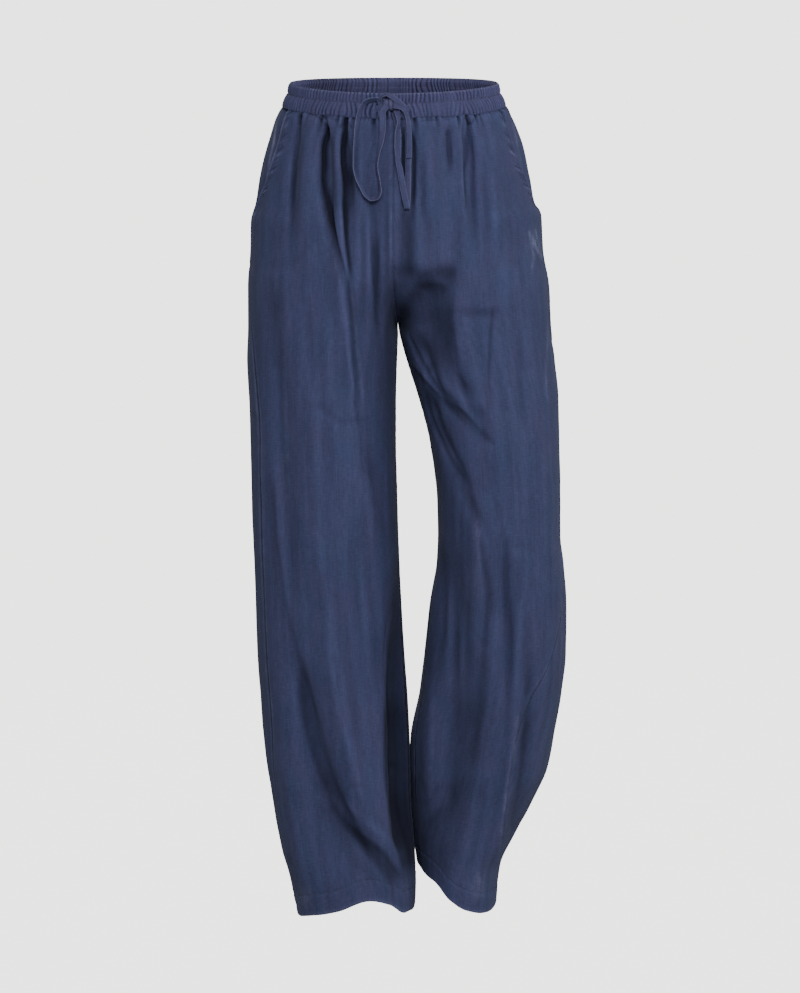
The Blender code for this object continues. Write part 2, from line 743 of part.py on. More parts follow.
def curve_through(rows, samples):
    """Rows of a table and, between each two, more along a smooth curve."""
    points = np.array(rows, float)
    lengths = np.hypot(*np.diff(points[:, :2], axis=0).T)
    lengths = np.hypot(lengths, np.diff(points[:, 2]))
    travelled = np.concatenate([[0.0], np.cumsum(lengths)])
    steps = np.arange(samples * (len(points) - 1) + 1) / samples
    at = np.interp(steps, np.arange(len(points)), travelled)
    return np.stack([smooth_curve(travelled, column, at) for column in points.T], 1)


def carried_across(ahead):
    """The level direction across a tie at each of its points.

    Where the tie folds over and runs straight at the cloth, no direction
    across it is more level than another, so the last one is carried on.
    """
    across = [np.cross(ahead[0], FORWARD)]
    for step in ahead[1:]:
        carried = across[-1] - step * (across[-1] @ step)
        level = np.cross(step, FORWARD)
        level = level if level @ carried > 0 else -level
        across.append(level if np.linalg.norm(level) > LEVEL_ENOUGH else carried)
    across = np.array(across)
    return across / np.linalg.norm(across, axis=1, keepdims=True)


def tie_length(name, route, finish):
    """A flat length of the tie along a route, turned as its points say."""
    path = curve_through(route, TIE_SAMPLES)
    x, z, lift, face = path.T
    centre = np.stack([x, front_y(x, z) - lift, z], 1)
    face = np.radians(face)[:, None]
    ahead = np.gradient(centre, axis=0)
    ahead /= np.linalg.norm(ahead, axis=1, keepdims=True)
    across = carried_across(ahead)
    flat = np.cross(across, ahead)
    width = (np.cos(face) * across + np.sin(face) * flat) * TIE_WIDTH / 2
    thick = (np.cos(face) * flat - np.sin(face) * across) * TIE_THICK / 2
    corners = [width + thick, -width + thick, -width - thick, width - thick]
    points = np.stack([centre + corner for corner in corners], 1).reshape(-1, 3)
    faces = []
    for i in range(len(centre) - 1):
        here = [4 * i + k for k in range(4)]
        there = [4 * (i + 1) + k for k in range(4)]
        faces += rim_faces(here, there, True)
    last = 4 * (len(centre) - 1)
    faces += [(0, 1, 2), (0, 2, 3)]
    faces += [(last + 2, last + 1, last), (last + 3, last + 2, last)]
    return add_object(name, points, faces, finish)


def build_knot(finish):
    """The knot of the bow: a slanting, rounded lump of wound tie."""
    slant = math.radians(KNOT_SLANT)
    points, faces = [(-1.0, 0.0, 0.0)], []
    for i in range(1, KNOT_RINGS):
        lean = math.pi * i / KNOT_RINGS
        for j in range(KNOT_SIDES):
            round_it = 2 * math.pi * j / KNOT_SIDES
            radius = math.sin(lean) ** KNOT_BLUNTNESS
            points.append(
                (-math.cos(lean), radius * math.cos(round_it), radius * math.sin(round_it))
            )
    points.append((1.0, 0.0, 0.0))
    scaled = np.array(points) * np.array(KNOT_HALF_SIZE)
    x = scaled[:, 0] * math.cos(slant) - scaled[:, 2] * math.sin(slant)
    z = scaled[:, 0] * math.sin(slant) + scaled[:, 2] * math.cos(slant)
    here = np.array([KNOT_MIDDLE_X]), np.array([KNOT_MIDDLE_Z])
    middle = np.array([KNOT_MIDDLE_X, front_y(*here)[0] - KNOT_LIFT, KNOT_MIDDLE_Z])
    placed = np.stack([x, scaled[:, 1], z], 1) + middle
    for j in range(KNOT_SIDES):
        k = (j + 1) % KNOT_SIDES
        faces.append((0, 1 + j, 1 + k))
        for i in range(KNOT_RINGS - 2):
            a = 1 + i * KNOT_SIDES
            b = a + KNOT_SIDES
            faces += [(a + j, b + j, b + k), (a + j, b + k, a + k)]
        a = 1 + (KNOT_RINGS - 2) * KNOT_SIDES
        faces.append((a + j, len(points) - 1, a + k))
    faces = [face[::-1] for face in faces]
    return add_object("drawstring_knot", placed, faces, finish)


def build_drawstring(finish):
    """The bow in front of the waistband: knot, loops, free ends and leads."""
    build_knot(finish)
    for name, route in BOW.items():
        tie_length(name, route, finish)


def main():
    """Builds the trousers."""
    for old in list(bpy.data.objects):
        bpy.data.objects.remove(old)
    linen = material("linen", LINEN, 0.85)
    inside = material("linen_inside", LINEN_INSIDE, 0.88)
    tie = material("tie_linen", LINEN, 0.82)
    for side in SIDES:
        for face in (FRONT, BACK):
            build_panel(side, face, linen)
        build_pocket_bag(side, inside)
        build_pocket_facing(side, inside)
    build_waistband(linen)
    build_drawstring(tie)


main()
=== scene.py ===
"""Linen drawstring trousers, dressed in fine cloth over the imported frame.

Sizes are in millimetres and become metres where a mesh is made. +Z is up, the
front faces -Y and the wearer's left is +X. "Drop" is the distance down the
cloth from the waist edge. "Turn" is the angle round one leg in degrees: 0 at
the outer side, 90 at the front, 180 at the inner side and -90 at the back.
"""

from __future__ import annotations

import logging
import math
from dataclasses import dataclass, field
from enum import Enum
from typing import Iterable, NamedTuple, Sequence

import bpy
import numpy as np
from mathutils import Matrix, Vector
from numpy.typing import NDArray


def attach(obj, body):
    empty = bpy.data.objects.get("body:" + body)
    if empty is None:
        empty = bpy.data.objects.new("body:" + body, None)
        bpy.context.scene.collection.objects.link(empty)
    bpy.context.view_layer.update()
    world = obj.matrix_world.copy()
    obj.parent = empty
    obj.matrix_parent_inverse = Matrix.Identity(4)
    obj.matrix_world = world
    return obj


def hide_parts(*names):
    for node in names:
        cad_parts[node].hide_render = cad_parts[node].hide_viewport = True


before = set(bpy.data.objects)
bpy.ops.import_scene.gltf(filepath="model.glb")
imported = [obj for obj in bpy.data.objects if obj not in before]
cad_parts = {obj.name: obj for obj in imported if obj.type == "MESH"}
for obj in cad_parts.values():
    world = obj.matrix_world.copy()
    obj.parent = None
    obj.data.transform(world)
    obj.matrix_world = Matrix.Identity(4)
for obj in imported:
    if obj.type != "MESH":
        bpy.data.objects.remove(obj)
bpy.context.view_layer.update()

log = logging.getLogger("trousers")
Array = NDArray[np.float64]
MM = 0.001
# How many cells of noise close round the waist.
ROUND_CELLS = 64


class Side(Enum):
    """One side of the wearer, with the sign of its X."""

    LEFT = 1.0
    RIGHT = -1.0

    @property
    def label(self) -> str:
        """The side's name as the nodes spell it."""
        return self.name.lower()


class Face(Enum):
    """The front or the back of a leg, with the sign of its turns."""

    FRONT = 1.0
    BACK = -1.0

    @property
    def label(self) -> str:
        """The face's name as the nodes spell it."""
        return self.name.lower()


# ---- the tables that the solids are made from, with finer mouths and seams


def rows_of(kind: type, *rows: tuple) -> list:
    """A table's rows of one kind, from plain tuples."""
    return [kind(*row) for row in rows]


def rows_by(kind: type, groups: dict[Enum, Sequence[tuple]]) -> list:
    """The same, where each row's first part is the side or face that heads it."""
    return [kind(group, *row) for group, rows in groups.items() for row in rows]


class Section(NamedTuple):
    """One oval of a leg, and the turns of its two seams."""

    drop: float
    outer: float
    inner: float
    front: float
    back: float
    seam: float
    inseam: float


class Place(NamedTuple):
    """A value at a drop, or a drop at a turn."""

    at: float
    value: float


class Fold(NamedTuple):
    """A soft ridge or trough down the cloth; its x at top, middle and bottom."""

    face: Face
    x_top: float
    x_mid: float
    x_low: float
    drop_top: float
    drop_low: float
    width: float
    depth: float


class SideFold(NamedTuple):
    """A fold near a side seam, which runs from one turn to another."""

    side: Side
    turn_top: float
    turn_low: float
    drop_top: float
    drop_low: float
    width: float
    depth: float


class BandRow(NamedTuple):
    """The waistband's oval at one drop."""

    drop: float
    half_width: float
    half_depth: float


SECTIONS = {
    Side.RIGHT: rows_of(
        Section,
        (30, 139.4, 0, -105.4, 105.4, -8, 0), (46, 148, 0, -109, 111, -7, 0),
        (70, 155, 0, -113, 118, -4, 0), (95, 162.2, 0, -116, 124, 0, 0), (120, 167.4, 0, -118, 129, 4, 0),
        (148, 171.6, 0, -119, 133, 7, 0), (172, 177.4, 0, -120, 136, 9, 0),
        (207, 178.2, 0, -120, 139, 11, 0), (257, 181.4, 0, -118, 139, 15, 0),
        (300, 181.3, -5, -114, 133, 24, 0), (344, 182.7, -3.5, -110, 125, 32, 2),
        (394, 181.3, -2, -108, 118, 35, 4), (444, 180.9, -2.2, -107, 113, 37, 5),
        (519, 179.2, -4.1, -106, 109, 36, 6), (594, 176.4, -6.3, -104, 107, 35, 8),
        (707, 172.2, -12.7, -100, 107, 36, 10), (770, 167.1, -17.6, -98, 108, 35, 10),
        (827, 163.1, -20.3, -98, 109, 34, 10), (897, 153.3, -22.2, -97, 110, 32, 10),
        (960, 141.2, -26.2, -96, 111, 26, 10), (998, 130.2, -27.2, -96, 112, 25, 10),
        (1050, 119, -26.5, -96, 112, 24, 10),
    ),
    Side.LEFT: rows_of(
        Section,
        (30, 139.4, 0, -105.4, 105.4, -8, 0), (46, 148.6, 0, -109, 111, -7, 0),
        (70, 158.2, 0, -113, 118, -5, 0), (95, 164.6, 0, -116, 124, -3, 0),
        (120, 169.6, 0, -118, 129, -1, 0), (148, 174.4, 0, -120, 133, 1, 0), (163, 183, 0, -120, 135, 2, 0),
        (207, 185.7, 0, -120, 139, 3, 0), (257, 193.9, 0, -118, 139, 4, 0),
        (300, 195.6, 5, -114, 133, 5, 0), (344, 200.4, 16.6, -116, 124, 6, 0),
        (394, 205, 32.4, -121, 113, 6, 1), (444, 205.1, 45.2, -125, 103, 6, 2),
        (519, 207.6, 54.3, -128, 95, 8, 3), (560, 207.8, 55.2, -128, 93, 10, 4),
        (594, 211.6, 53.8, -126, 93, 12, 5), (644, 215.6, 45.4, -120, 98, 26, 9),
        (707, 215.6, 38.4, -109, 111, 44, 14), (758, 210.7, 32.2, -99, 122, 60, 20),
        (821, 198.8, 20.3, -85, 134, 65, 26), (860, 191, 19.3, -77, 141, 65, 28),
        (897, 175.4, 20.4, -70, 148, 60, 28), (948, 150.6, 24.5, -62, 157, 46, 22),
        (985, 134.8, 30.2, -59, 163, 28, 16), (1050, 128, 31.5, -57, 166, 10, 12),
    ),
}
CENTRE_SEAM = rows_of(Place, (0, 0), (180, -1), (250, 0), (300, 5))
# How strongly a side seam's groove shows: on the left calf it lies soft and rolled.
SEAM_SHOWS = {
    Side.RIGHT: rows_of(Place, (30, 1), (500, 0.9), (1050, 0.8)),
    Side.LEFT: rows_of(Place, (30, 1), (590, 0.8), (650, 0.25), (1050, 0.22)),
}
POCKET_MOUTH = {
    Side.RIGHT: rows_of(Place, (30, 21), (80, 23), (118, 20), (145, 12.5), (160, 8)),
    Side.LEFT: rows_of(Place, (30, 17), (60, 22), (82, 22), (123, 14.5), (141, 9), (160, 2)),
}
HEM = {
    Side.RIGHT: rows_of(
        Place,
        (-180, 1014), (-150, 1018), (-115, 1034), (-80, 1026), (-40, 1034), (0, 1042), (50, 1030),
        (75, 1022), (105, 1009), (125, 1016), (144, 1030), (160, 1030), (180, 1014),
    ),
    Side.LEFT: rows_of(
        Place,
        (-180, 979), (-145, 984), (-110, 1000), (-70, 1004), (-35, 1024), (0, 1031), (40, 1035), (80, 1027),
        (104, 1014), (128, 993), (180, 979),
    ),
}
FOLDS = rows_by(
    Fold,
    {
        Face.FRONT: [
            # Gathers below the waistband, wearer's right.
            (-120, -124, -128, 20, 230, 9, -5), (-103, -104, -108, 20, 260, 10, 4),
            (-84, -79, -72, 15, 215, 8, -9), (-72, -55, -34, 15, 440, 9, 7),
            (-58, -58, -50, 15, 250, 7, -8), (-40, -40, -36, 20, 170, 8, 4),
            (-24, -24, -19, 90, 345, 10, -6),
            # Gathers below the waistband, wearer's left.
            (22, 22, 24, 15, 190, 8, -4), (42, 46, 56, 20, 250, 13, 4), (65, 66, 68, 25, 120, 7, -4),
            (79, 84, 90, 20, 210, 8, 4), (91, 96, 103, 15, 225, 8, -9), (118, 124, 132, 25, 260, 12, 4),
            # The hollow beside the fork and the creases that run down from it.
            (20, 38, 56, 215, 380, 23, -14), (72, 80, 100, 240, 400, 15, 5), (18, 46, 98, 300, 430, 9, -8),
            (38, 60, 102, 375, 510, 9, -8), (72, 98, 128, 350, 455, 9, -5),
            # Long folds of the wearer's right leg.
            (-140, -131, -114, 300, 790, 14, -6), (-95, -92, -80, 330, 700, 20, 4),
            (-116, -86, 18, 690, 1010, 16, -14), (-84, -58, 12, 640, 1000, 15, 8),
            (-138, -118, -90, 800, 1080, 18, 6),
            # Long folds of the wearer's left leg.
            (104, 106, 104, 470, 800, 15, 5), (130, 139, 134, 530, 830, 12, -7),
            (70, 76, 58, 560, 960, 19, -12), (165, 170, 128, 600, 1000, 16, 4),
            (46, 44, 40, 720, 960, 12, 6),
        ],
        Face.BACK: [
            # Gathers below the waistband at the back.
            (-118, -120, -124, 15, 210, 9, -5), (-92, -92, -98, 15, 260, 10, 5),
            (-66, -70, -80, 15, 240, 8, -7), (-34, -40, -52, 15, 200, 9, 4), (30, 34, 40, 15, 190, 8, -5),
            (58, 62, 76, 15, 270, 9, 5), (88, 92, 104, 15, 230, 8, -7), (116, 122, 132, 15, 200, 10, 4),
            # Creases under the seat and the long folds of the backs of the legs.
            (-20, -64, -130, 290, 420, 13, -9), (30, 78, 150, 300, 440, 13, -9),
            (-96, -92, -84, 380, 960, 17, -8), (-54, -52, -44, 430, 1060, 15, 7),
            (112, 104, 66, 420, 900, 18, -9), (150, 156, 120, 470, 960, 16, 7),
        ],
    },
)
SIDE_FOLDS = rows_by(
    SideFold,
    {
        Side.RIGHT: [
            (-20, -26, 120, 420, 11, -2.5), (4, -4, 330, 760, 13, -2.6), (-30, -18, 520, 930, 15, 2.4),
            (-8, 4, 800, 1040, 12, -2.2),
        ],
        Side.LEFT: [
            (-24, -30, 90, 380, 11, -2.5), (-14, -22, 360, 700, 14, 2.4), (-4, -16, 470, 860, 13, -2.6),
            (10, -12, 760, 1020, 14, 2.2),
        ],
    },
)


class Crease(NamedTuple):
    """A finer fold that only the cloth shows, with the shares over which it fades."""

    face: Face
    x_top: float
    x_mid: float
    x_low: float
    drop_top: float
    drop_low: float
    width: float
    depth: float
    grown: float
    fading: float
    skew: float = 1.0
    leg: Side | None = None


CREASES = rows_by(
    Crease,
    {
        Face.FRONT: [
            # Wearer's right, from the waist seam down the thigh.
            (-84, -77, -54, 35, 262, 5, -7, 0.06, 0.4, 0.6), (-85, -84, -81, 29, 140, 2.6, -4, 0.02, 0.55),
            (-58.5, -59, -55, 29, 130, 2.8, -4.6, 0.02, 0.55),
            (-56, -54, -50, 60, 160, 3.5, -2.2, 0.2, 0.5), (-76, -60, -30, 95, 480, 5, 1.8, 0.2, 0.4),
            (-60, -52, -31, 60, 510, 6, -4, 0.15, 0.35, 1.6),
            (-115, -124, -126, 30, 190, 3, -3.4, 0.03, 0.5, 1.4),
            (-108, -111, -116, 60, 240, 5, 1.4, 0.3, 0.5), (-37, -36, -33, 140, 330, 4, -2.2, 0.25, 0.5),
            (-23, -22, -17, 170, 325, 4.5, -3.2, 0.25, 0.5), (-9, -10, -9, 120, 270, 4, -1.8, 0.25, 0.5),
            (-152, -147, -140, 230, 400, 11, -3, 0.3, 0.4), (-104, -100, -94, 250, 430, 6, -1.6, 0.3, 0.4),
            (-88, -84, -74, 300, 520, 7, -1.6, 0.3, 0.4),
            # Wearer's right, knee to hem.
            (-36, -17, -2, 430, 600, 10, -3.6, 0.3, 0.5),
            (0, 4, 9, 570, 990, 15, -15, 0.55, 0.25, 1.6, Side.RIGHT),
            (-92, -45, 12, 860, 1020, 12, 3, 0.3, 0.3), (-62, -52, -30, 640, 860, 7, -2.4, 0.3, 0.4),
            (-95, -84, -62, 520, 720, 8, 1.8, 0.3, 0.4), (-134, -126, -117, 945, 1026, 4.5, -2.8, 0.3, 0.3),
            (-40, -38, -30, 560, 700, 6, 1.6, 0.3, 0.4),
            # Wearer's left, from the waist seam to the thigh.
            (66, 67, 69, 42, 105, 3, -2.8, 0.12, 0.55), (87, 89, 92, 29, 175, 3, -3.8, 0.03, 0.55),
            (33, 35, 38, 60, 190, 4.5, -1.8, 0.25, 0.5), (108, 112, 118, 60, 230, 5, -1.6, 0.3, 0.5),
            (12, 12, 11, 45, 170, 2.6, -4.2, 0.15, 0.5), (23, 23, 24, 40, 175, 2.4, -3.6, 0.15, 0.5),
            (70, 72, 78, 225, 365, 5, -0.8, 0.3, 0.4, 0.5), (82, 80, 84, 235, 365, 8, 1.6, 0.3, 0.4),
            (124, 115, 119, 262, 404, 2.4, -1.7, 0.2, 0.5), (150, 156, 162, 300, 450, 8, -2.2, 0.3, 0.4),
            # Wearer's left, knee to hem.
            (68, 90, 114, 452, 565, 10, -4.5, 0.3, 0.4), (104, 108, 112, 545, 625, 5, -2.6, 0.3, 0.4),
            (115, 108, 90, 560, 870, 9, -5, 0.25, 0.4), (88, 86, 76, 570, 800, 9, 2.6, 0.3, 0.4),
            (150, 146, 124, 600, 990, 6, 2.4, 0.2, 0.12),
            (166, 162, 140, 690, 990, 10, -4.5, 0.2, 0.2, 1.3), (56, 58, 50, 555, 750, 8, -4, 0.3, 0.4),
            (62, 48, 32, 862, 908, 6, -1, 0.3, 0.4), (62, 46, 34, 892, 936, 6, -1, 0.3, 0.4),
            (112, 104, 92, 840, 1000, 8, -3, 0.3, 0.3),
        ],
        Face.BACK: [
            # The back, from the waist seam to the thighs.
            (-108, -110, -116, 29, 180, 3.4, -4, 0.03, 0.55),
            (-80, -82, -90, 29, 140, 3.2, -3.4, 0.03, 0.55),
            (-48, -50, -56, 29, 210, 3.6, -3.8, 0.03, 0.55), (-22, -22, -26, 50, 170, 4, -2.2, 0.2, 0.5),
            (18, 18, 22, 29, 150, 3.4, -3, 0.03, 0.55), (46, 49, 58, 40, 230, 4, -3.2, 0.1, 0.55),
            (74, 77, 86, 29, 160, 3.2, -4.2, 0.03, 0.55), (103, 106, 114, 29, 120, 3, -3.2, 0.03, 0.55),
            (-16, -52, -118, 312, 452, 8, -5, 0.2, 0.3), (-10, -40, -96, 346, 500, 8, -4, 0.2, 0.3),
            (26, 66, 134, 318, 462, 8, -5, 0.2, 0.3), (40, 74, 140, 366, 520, 8, -4, 0.2, 0.3),
            # The back, knee to hem.
            (-132, -128, -112, 470, 800, 9, -3.6, 0.25, 0.4), (-74, -70, -58, 540, 900, 8, -3.4, 0.25, 0.4),
            (-30, -24, -12, 600, 940, 10, -5, 0.25, 0.3), (-108, -84, -34, 820, 1010, 11, -5, 0.25, 0.25),
            (84, 80, 62, 560, 860, 9, -4, 0.25, 0.4), (132, 134, 116, 580, 900, 8, 3, 0.25, 0.4),
            (172, 170, 146, 560, 860, 9, -4, 0.25, 0.4), (120, 96, 58, 800, 980, 10, -4.6, 0.25, 0.25),
        ],
    },
)


class Stroke(NamedTuple):
    """A soft line on one face through places of x and drop, broader on one side.

    Its bell is `left` wide on the left of someone who faces along it, with the
    drop for "up", and `right` wide on the other side.
    """

    face: Face
    height: float
    right: float
    left: float
    places: tuple[tuple[float, float], ...]
    leg: Side | None = None


# Further folds: heights in millimetres.
STROKES = rows_by(
    Stroke,
    {
        Face.FRONT: [
            (-2.4, 7, 15, ((4, 299), (12, 279), (24, 261), (45, 251), (70, 258))),
            (1.2, 9, 9, ((12, 306), (22, 320), (32, 336), (44, 352))),
            (-3.2, 3.5, 12, ((14, 346), (43, 376), (60, 391), (78, 402), (100, 420), (124, 446))),
            (2.2, 10, 8, ((38, 350), (56, 368), (74, 380), (92, 390), (110, 402))),
            (-3.2, 5.5, 14, ((-151, 470), (-150, 521), (-142, 605), (-125, 687), (-107, 756), (-90, 812))),
            (-2.6, 12, 22, ((-124, 740), (-110, 790), (-80, 872), (-48, 930), (-14, 966), (16, 994))),
            (
                -1, 6, 16,
                ((-112, 752), (-102, 798), (-92, 840), (-78, 882), (-44, 927), (-8, 956), (19, 996)),
            ),
            (-2.2, 4.5, 15, ((-82, 872), (-66, 902), (-40, 930), (-8, 958), (19, 996))),
            (1.8, 8, 6, ((-64, 880), (-34, 912), (0, 942), (20, 972))),
        ],
        Face.BACK: [
            (-3.5, 4, 13, ((150, 500), (146, 580), (130, 680), (104, 780), (80, 850))),
            (-3, 5, 14, ((-20, 282), (-34, 300), (-60, 316), (-96, 322))),
            (-3, 14, 5, ((24, 286), (40, 304), (68, 322), (104, 330))),
        ],
    },
)
# Painted shade, darkening the colour where shadow falls in the deepest places, in the same measure as the
# painted shade of the hollows; rows below 0 are painted light.
PAINTED_SHADES = rows_by(
    Stroke,
    {
        Face.FRONT: [
            (1, 7, 13, ((0, 306), (8, 288), (24, 262), (45, 251), (66, 254))),
            (0.7, 5, 10, ((2, 304), (8, 290), (16, 278), (26, 266), (38, 257))),
            (1.9, 8, 14, ((26, 254), (42, 234), (58, 228), (80, 229))),
            (3, 6, 11, ((16.5, 138), (18, 176), (19.5, 205), (20, 240))),
            (1.3, 2.8, 20, ((70, 206), (74, 228), (74, 262), (69, 292), (68, 330), (82, 356))),
            (0.8, 20, 20, ((44, 250), (40, 300), (44, 345))),
            (0.6, 3, 16, ((16, 346), (43, 376), (60, 391), (78, 402), (100, 420), (124, 446))),
            (4.6, 2.6, 2.6, ((12, 32), (12.3, 80), (12, 132))),
            (1.8, 2.2, 2.2, ((23, 36), (24, 90), (25, 150))),
            (3.2, 2.8, 3, ((-58, 26), (-59.5, 80), (-59, 140), (-54, 205), (-48, 250))),
            (0.5, 9, 2.5, ((-53, 230), (-47, 275), (-38, 317), (-33, 417), (-26, 484), (-9, 530))),
            (0.8, 2, 7, ((-84, 32), (-84, 96), (-77, 146), (-66, 196), (-60, 232))),
            (1.1, 1.9, 1.9, ((-116, 33), (-118, 44), (-124, 70), (-126, 150))),
            (2.2, 1.8, 1.8, ((89, 32), (89.5, 75), (88.5, 115), (88.5, 150))),
            (0.9, 1.8, 1.8, ((64, 36), (65, 70), (66, 104))),
            (-0.5, 4, 4, ((-64, 240), (-56, 280), (-50, 330))),
            (0.3, 3, 14, ((-151, 480), (-142, 605), (-125, 687), (-107, 756), (-90, 800))),
            (1.4, 12, 20, ((-90, 840), (-76, 890), (-50, 934), (-16, 974), (16, 1004))),
            (
                4.4, 40, 4,
                ((-8, 748), (-9.5, 785), (-9.5, 815), (-8, 860), (-2, 895), (6, 930), (16, 978), (20, 999)),
                Side.RIGHT,
            ),
            (2.2, 30, 6, ((8, 560), (6, 640), (3, 700), (-2, 750), (-8, 790)), Side.RIGHT),
            (1.5, 10, 30, ((102, 735), (97, 800), (90, 865), (80, 915), (66, 960), (48, 1004)), Side.LEFT),
            (0.9, 12, 12, ((92, 846), (82, 868), (66, 896), (50, 922), (32, 946), (16, 962)), Side.LEFT),
            (-2.4, 8, 5, ((29, 762), (25, 815), (25, 868)), Side.LEFT),
            (1.4, 3.5, 14, ((-82, 872), (-66, 902), (-40, 930), (-8, 958), (19, 996))),
            (-1, 12, 12, ((-24, 470), (-20, 540), (-17, 620), (-17, 690))),
            (-0.6, 20, 20, ((-122, 890), (-106, 950), (-84, 1000))),
            (0.8, 10, 10, ((112, 690), (106, 770), (98, 850))),
            (0.9, 16, 1.6, ((158, 755), (148, 821), (143, 849), (138, 890), (132, 936), (130, 971))),
            (1.1, 10, 10, ((120, 545), (128, 596), (126, 660))),
            (3, 1.5, 1.5, ((-96, 29), (-89, 34), (-84, 42))),
            (2.4, 1.4, 1.4, ((-75, 33), (-69, 34), (-64, 31))),
            (3, 1.5, 1.5, ((-66, 44), (-61, 36), (-58, 28))),
            (2.6, 1.5, 1.5, ((-58, 28), (-54, 35), (-50, 43))),
            (2.8, 1.5, 1.5, ((86, 28), (90, 34), (93, 42))),
            (2.6, 1.5, 1.5, ((101, 28), (97, 34), (93, 42))),
            (1.8, 1.4, 1.4, ((30, 33), (42, 34), (56, 32))),
            (2.2, 1.4, 1.4, ((-112, 29), (-116, 35), (-118, 44))),
        ],
        Face.BACK: [
            (2.8, 1.5, 1.5, ((-84, 29), (-80, 35), (-78, 44))),
            (2.8, 1.5, 1.5, ((-52, 28), (-48, 35), (-46, 42))),
            (2.8, 1.5, 1.5, ((24, 29), (20, 35), (18, 44))),
            (2.8, 1.5, 1.5, ((70, 28), (74, 34), (77, 43))),
            (1.4, 2, 2, ((-80, 32), (-82, 80), (-88, 130))),
            (1.6, 2.2, 2.2, ((-48, 32), (-50, 110), (-56, 190))),
            (1.4, 2, 2, ((74, 32), (77, 90), (84, 150))),
            (0.8, 6, 16, ((-8, 300), (-34, 312), (-70, 326), (-110, 330))),
            (0.8, 16, 6, ((12, 304), (40, 318), (76, 334), (114, 340))),
            (0.8, 4, 16, ((148, 540), (132, 660), (100, 780), (70, 880))),
        ],
    },
)
# Lines drawn pale, as shares of full wear: seams and ridges rubbed pale, and one painted highlight along a
# fold's lit edge.
RUBS = rows_by(
    Stroke,
    {
        Face.FRONT: [
            (0.8, 1.8, 2.4, ((165, 178), (169, 188), (174, 199), (179, 212))),
            (0.65, 1.8, 2.2, ((174, 176), (176, 188), (180, 202), (184, 220))),
            (0.45, 1.8, 1.8, ((171, 190), (171, 212), (169.5, 236))),
            (0.32, 1.5, 1.5, ((190, 285), (188, 320), (186, 350), (188, 384), (192, 400))),
            (0.18, 1.8, 1.8, ((-84, 110), (-77, 180), (-62, 265))),
            (0.16, 2.2, 2.2, ((-54, 240), (-42, 330), (-34, 430))),
            (0.16, 5, 5, ((104, 500), (101, 570), (100, 640))),
            # A pale line along the fold's edge: painted highlight where the edge catches the light, beside
            # the painted shade on its other side.
            (0.4, 1.3, 2.2, ((158, 755), (148, 821), (143, 849), (138, 890), (132, 936), (130, 971))),
            (0.18, 1.6, 1.6, ((207, 560), (208, 640), (208, 700), (205, 745))),
        ],
        Face.BACK: [
            (0.16, 3, 3, ((-60, 120), (-66, 200), (-76, 280))),
            (0.16, 3, 3, ((64, 120), (70, 200), (84, 270))),
            (0.14, 4, 4, ((98, 560), (92, 690), (80, 820))),
        ],
    },
)
# Shallow oval hollows: x, drop, half width, half height and depth.
DENTS = {
    Face.FRONT: [
        (62, 240, 13, 24, -2), (8, 300, 10, 14, -4), (44, 310, 30, 38, -1.5), (104, 283, 30, 7, -1.8),
        (-150, 320, 14, 60, -1.2), (132, 470, 22, 34, -1.2),
    ],
    Face.BACK: [
        (-20, 276, 18, 26, -3), (26, 280, 18, 26, -3), (-86, 330, 28, 9, -1.6), (92, 338, 28, 9, -1.6),
        (-110, 560, 24, 60, -1.4), (126, 540, 24, 60, -1.4),
    ],
}
# Pale rubbed places: x, drop, half width, half height and share of full wear.
SCUFFS = {
    Face.FRONT: [
        (171, 194, 7, 14, 0.34), (104, 998, 9, 18, 0.4), (-132, 470, 9, 60, 0.14),
        (-112, 1010, 12, 14, 0.28),
    ],
    Face.BACK: [
        (-170, 200, 8, 22, 0.4), (-60, 300, 26, 40, 0.12), (70, 290, 26, 40, 0.12), (96, 996, 12, 16, 0.4),
        (-84, 1008, 14, 14, 0.35),
    ],
}


class Tuck(NamedTuple):
    """A short pinch where the cloth is gathered into the waistband."""

    angle: float
    depth: float
    length: float
    width: float


class TiePoint(NamedTuple):
    """A point of the tie: how far it stands off the cloth, and its flat's turn."""

    x: float
    z: float
    lift: float
    face: float


# ---- curves and noise ------------------------------------------------------


def ease(low: float, high: float, value: Array | float) -> Array:
    """A smooth step: 0 below low, 1 above high, t squared times 3 less 2t between.

    Args:
        low: Where the step starts.
        high: Where it ends.
        value: The places to read.

    Returns:
        Shares from 0 to 1.
    """
    t = np.clip((value - low) / (high - low), 0.0, 1.0)
    return t * t * (3 - 2 * t)


def bump(value: Array, middle: float | Array, width: float | Array) -> Array:
    """A soft bell of height 1: e to minus the square of distance over width."""
    return np.exp(-(((value - middle) / width) ** 2))


def smooth_curve(knots: Array, values: Array, at: Array) -> Array:
    """A cubic curve through a table's points that never overshoots them.

    Each knot's tangent is the harmonic mean of the slopes beside it, or 0
    where they differ in sign.

    Args:
        knots: Places, rising.
        values: The values there.
        at: Where to read the curve.

    Returns:
        The curve's values.
    """
    gaps = np.diff(knots)
    slopes = np.diff(values) / gaps
    tangents = np.zeros_like(values)
    before, after = slopes[:-1], slopes[1:]
    same_way = before * after > 0
    mean = 2 * before * after / np.where(same_way, before + after, 1.0)
    tangents[1:-1] = np.where(same_way, mean, 0.0)
    tangents[0], tangents[-1] = slopes[0], slopes[-1]
    at = np.clip(at, knots[0], knots[-1])
    i = np.clip(np.searchsorted(knots, at, side="right") - 1, 0, len(gaps) - 1)
    gap = gaps[i]
    t = (at - knots[i]) / gap
    return (
        values[i] * (1 + 2 * t) * (1 - t) ** 2
        + values[i + 1] * t**2 * (3 - 2 * t)
        + gap * t * (1 - t) * (tangents[i] * (1 - t) - tangents[i + 1] * t)
    )


def read_column(rows: Sequence[tuple], key: str, name: str, at: Array) -> Array:
    """A named column of a table, read along its key column by smooth_curve."""
    knots = np.array([getattr(row, key) for row in rows], float)
    values = np.array([getattr(row, name) for row in rows], float)
    return smooth_curve(knots, values, at)


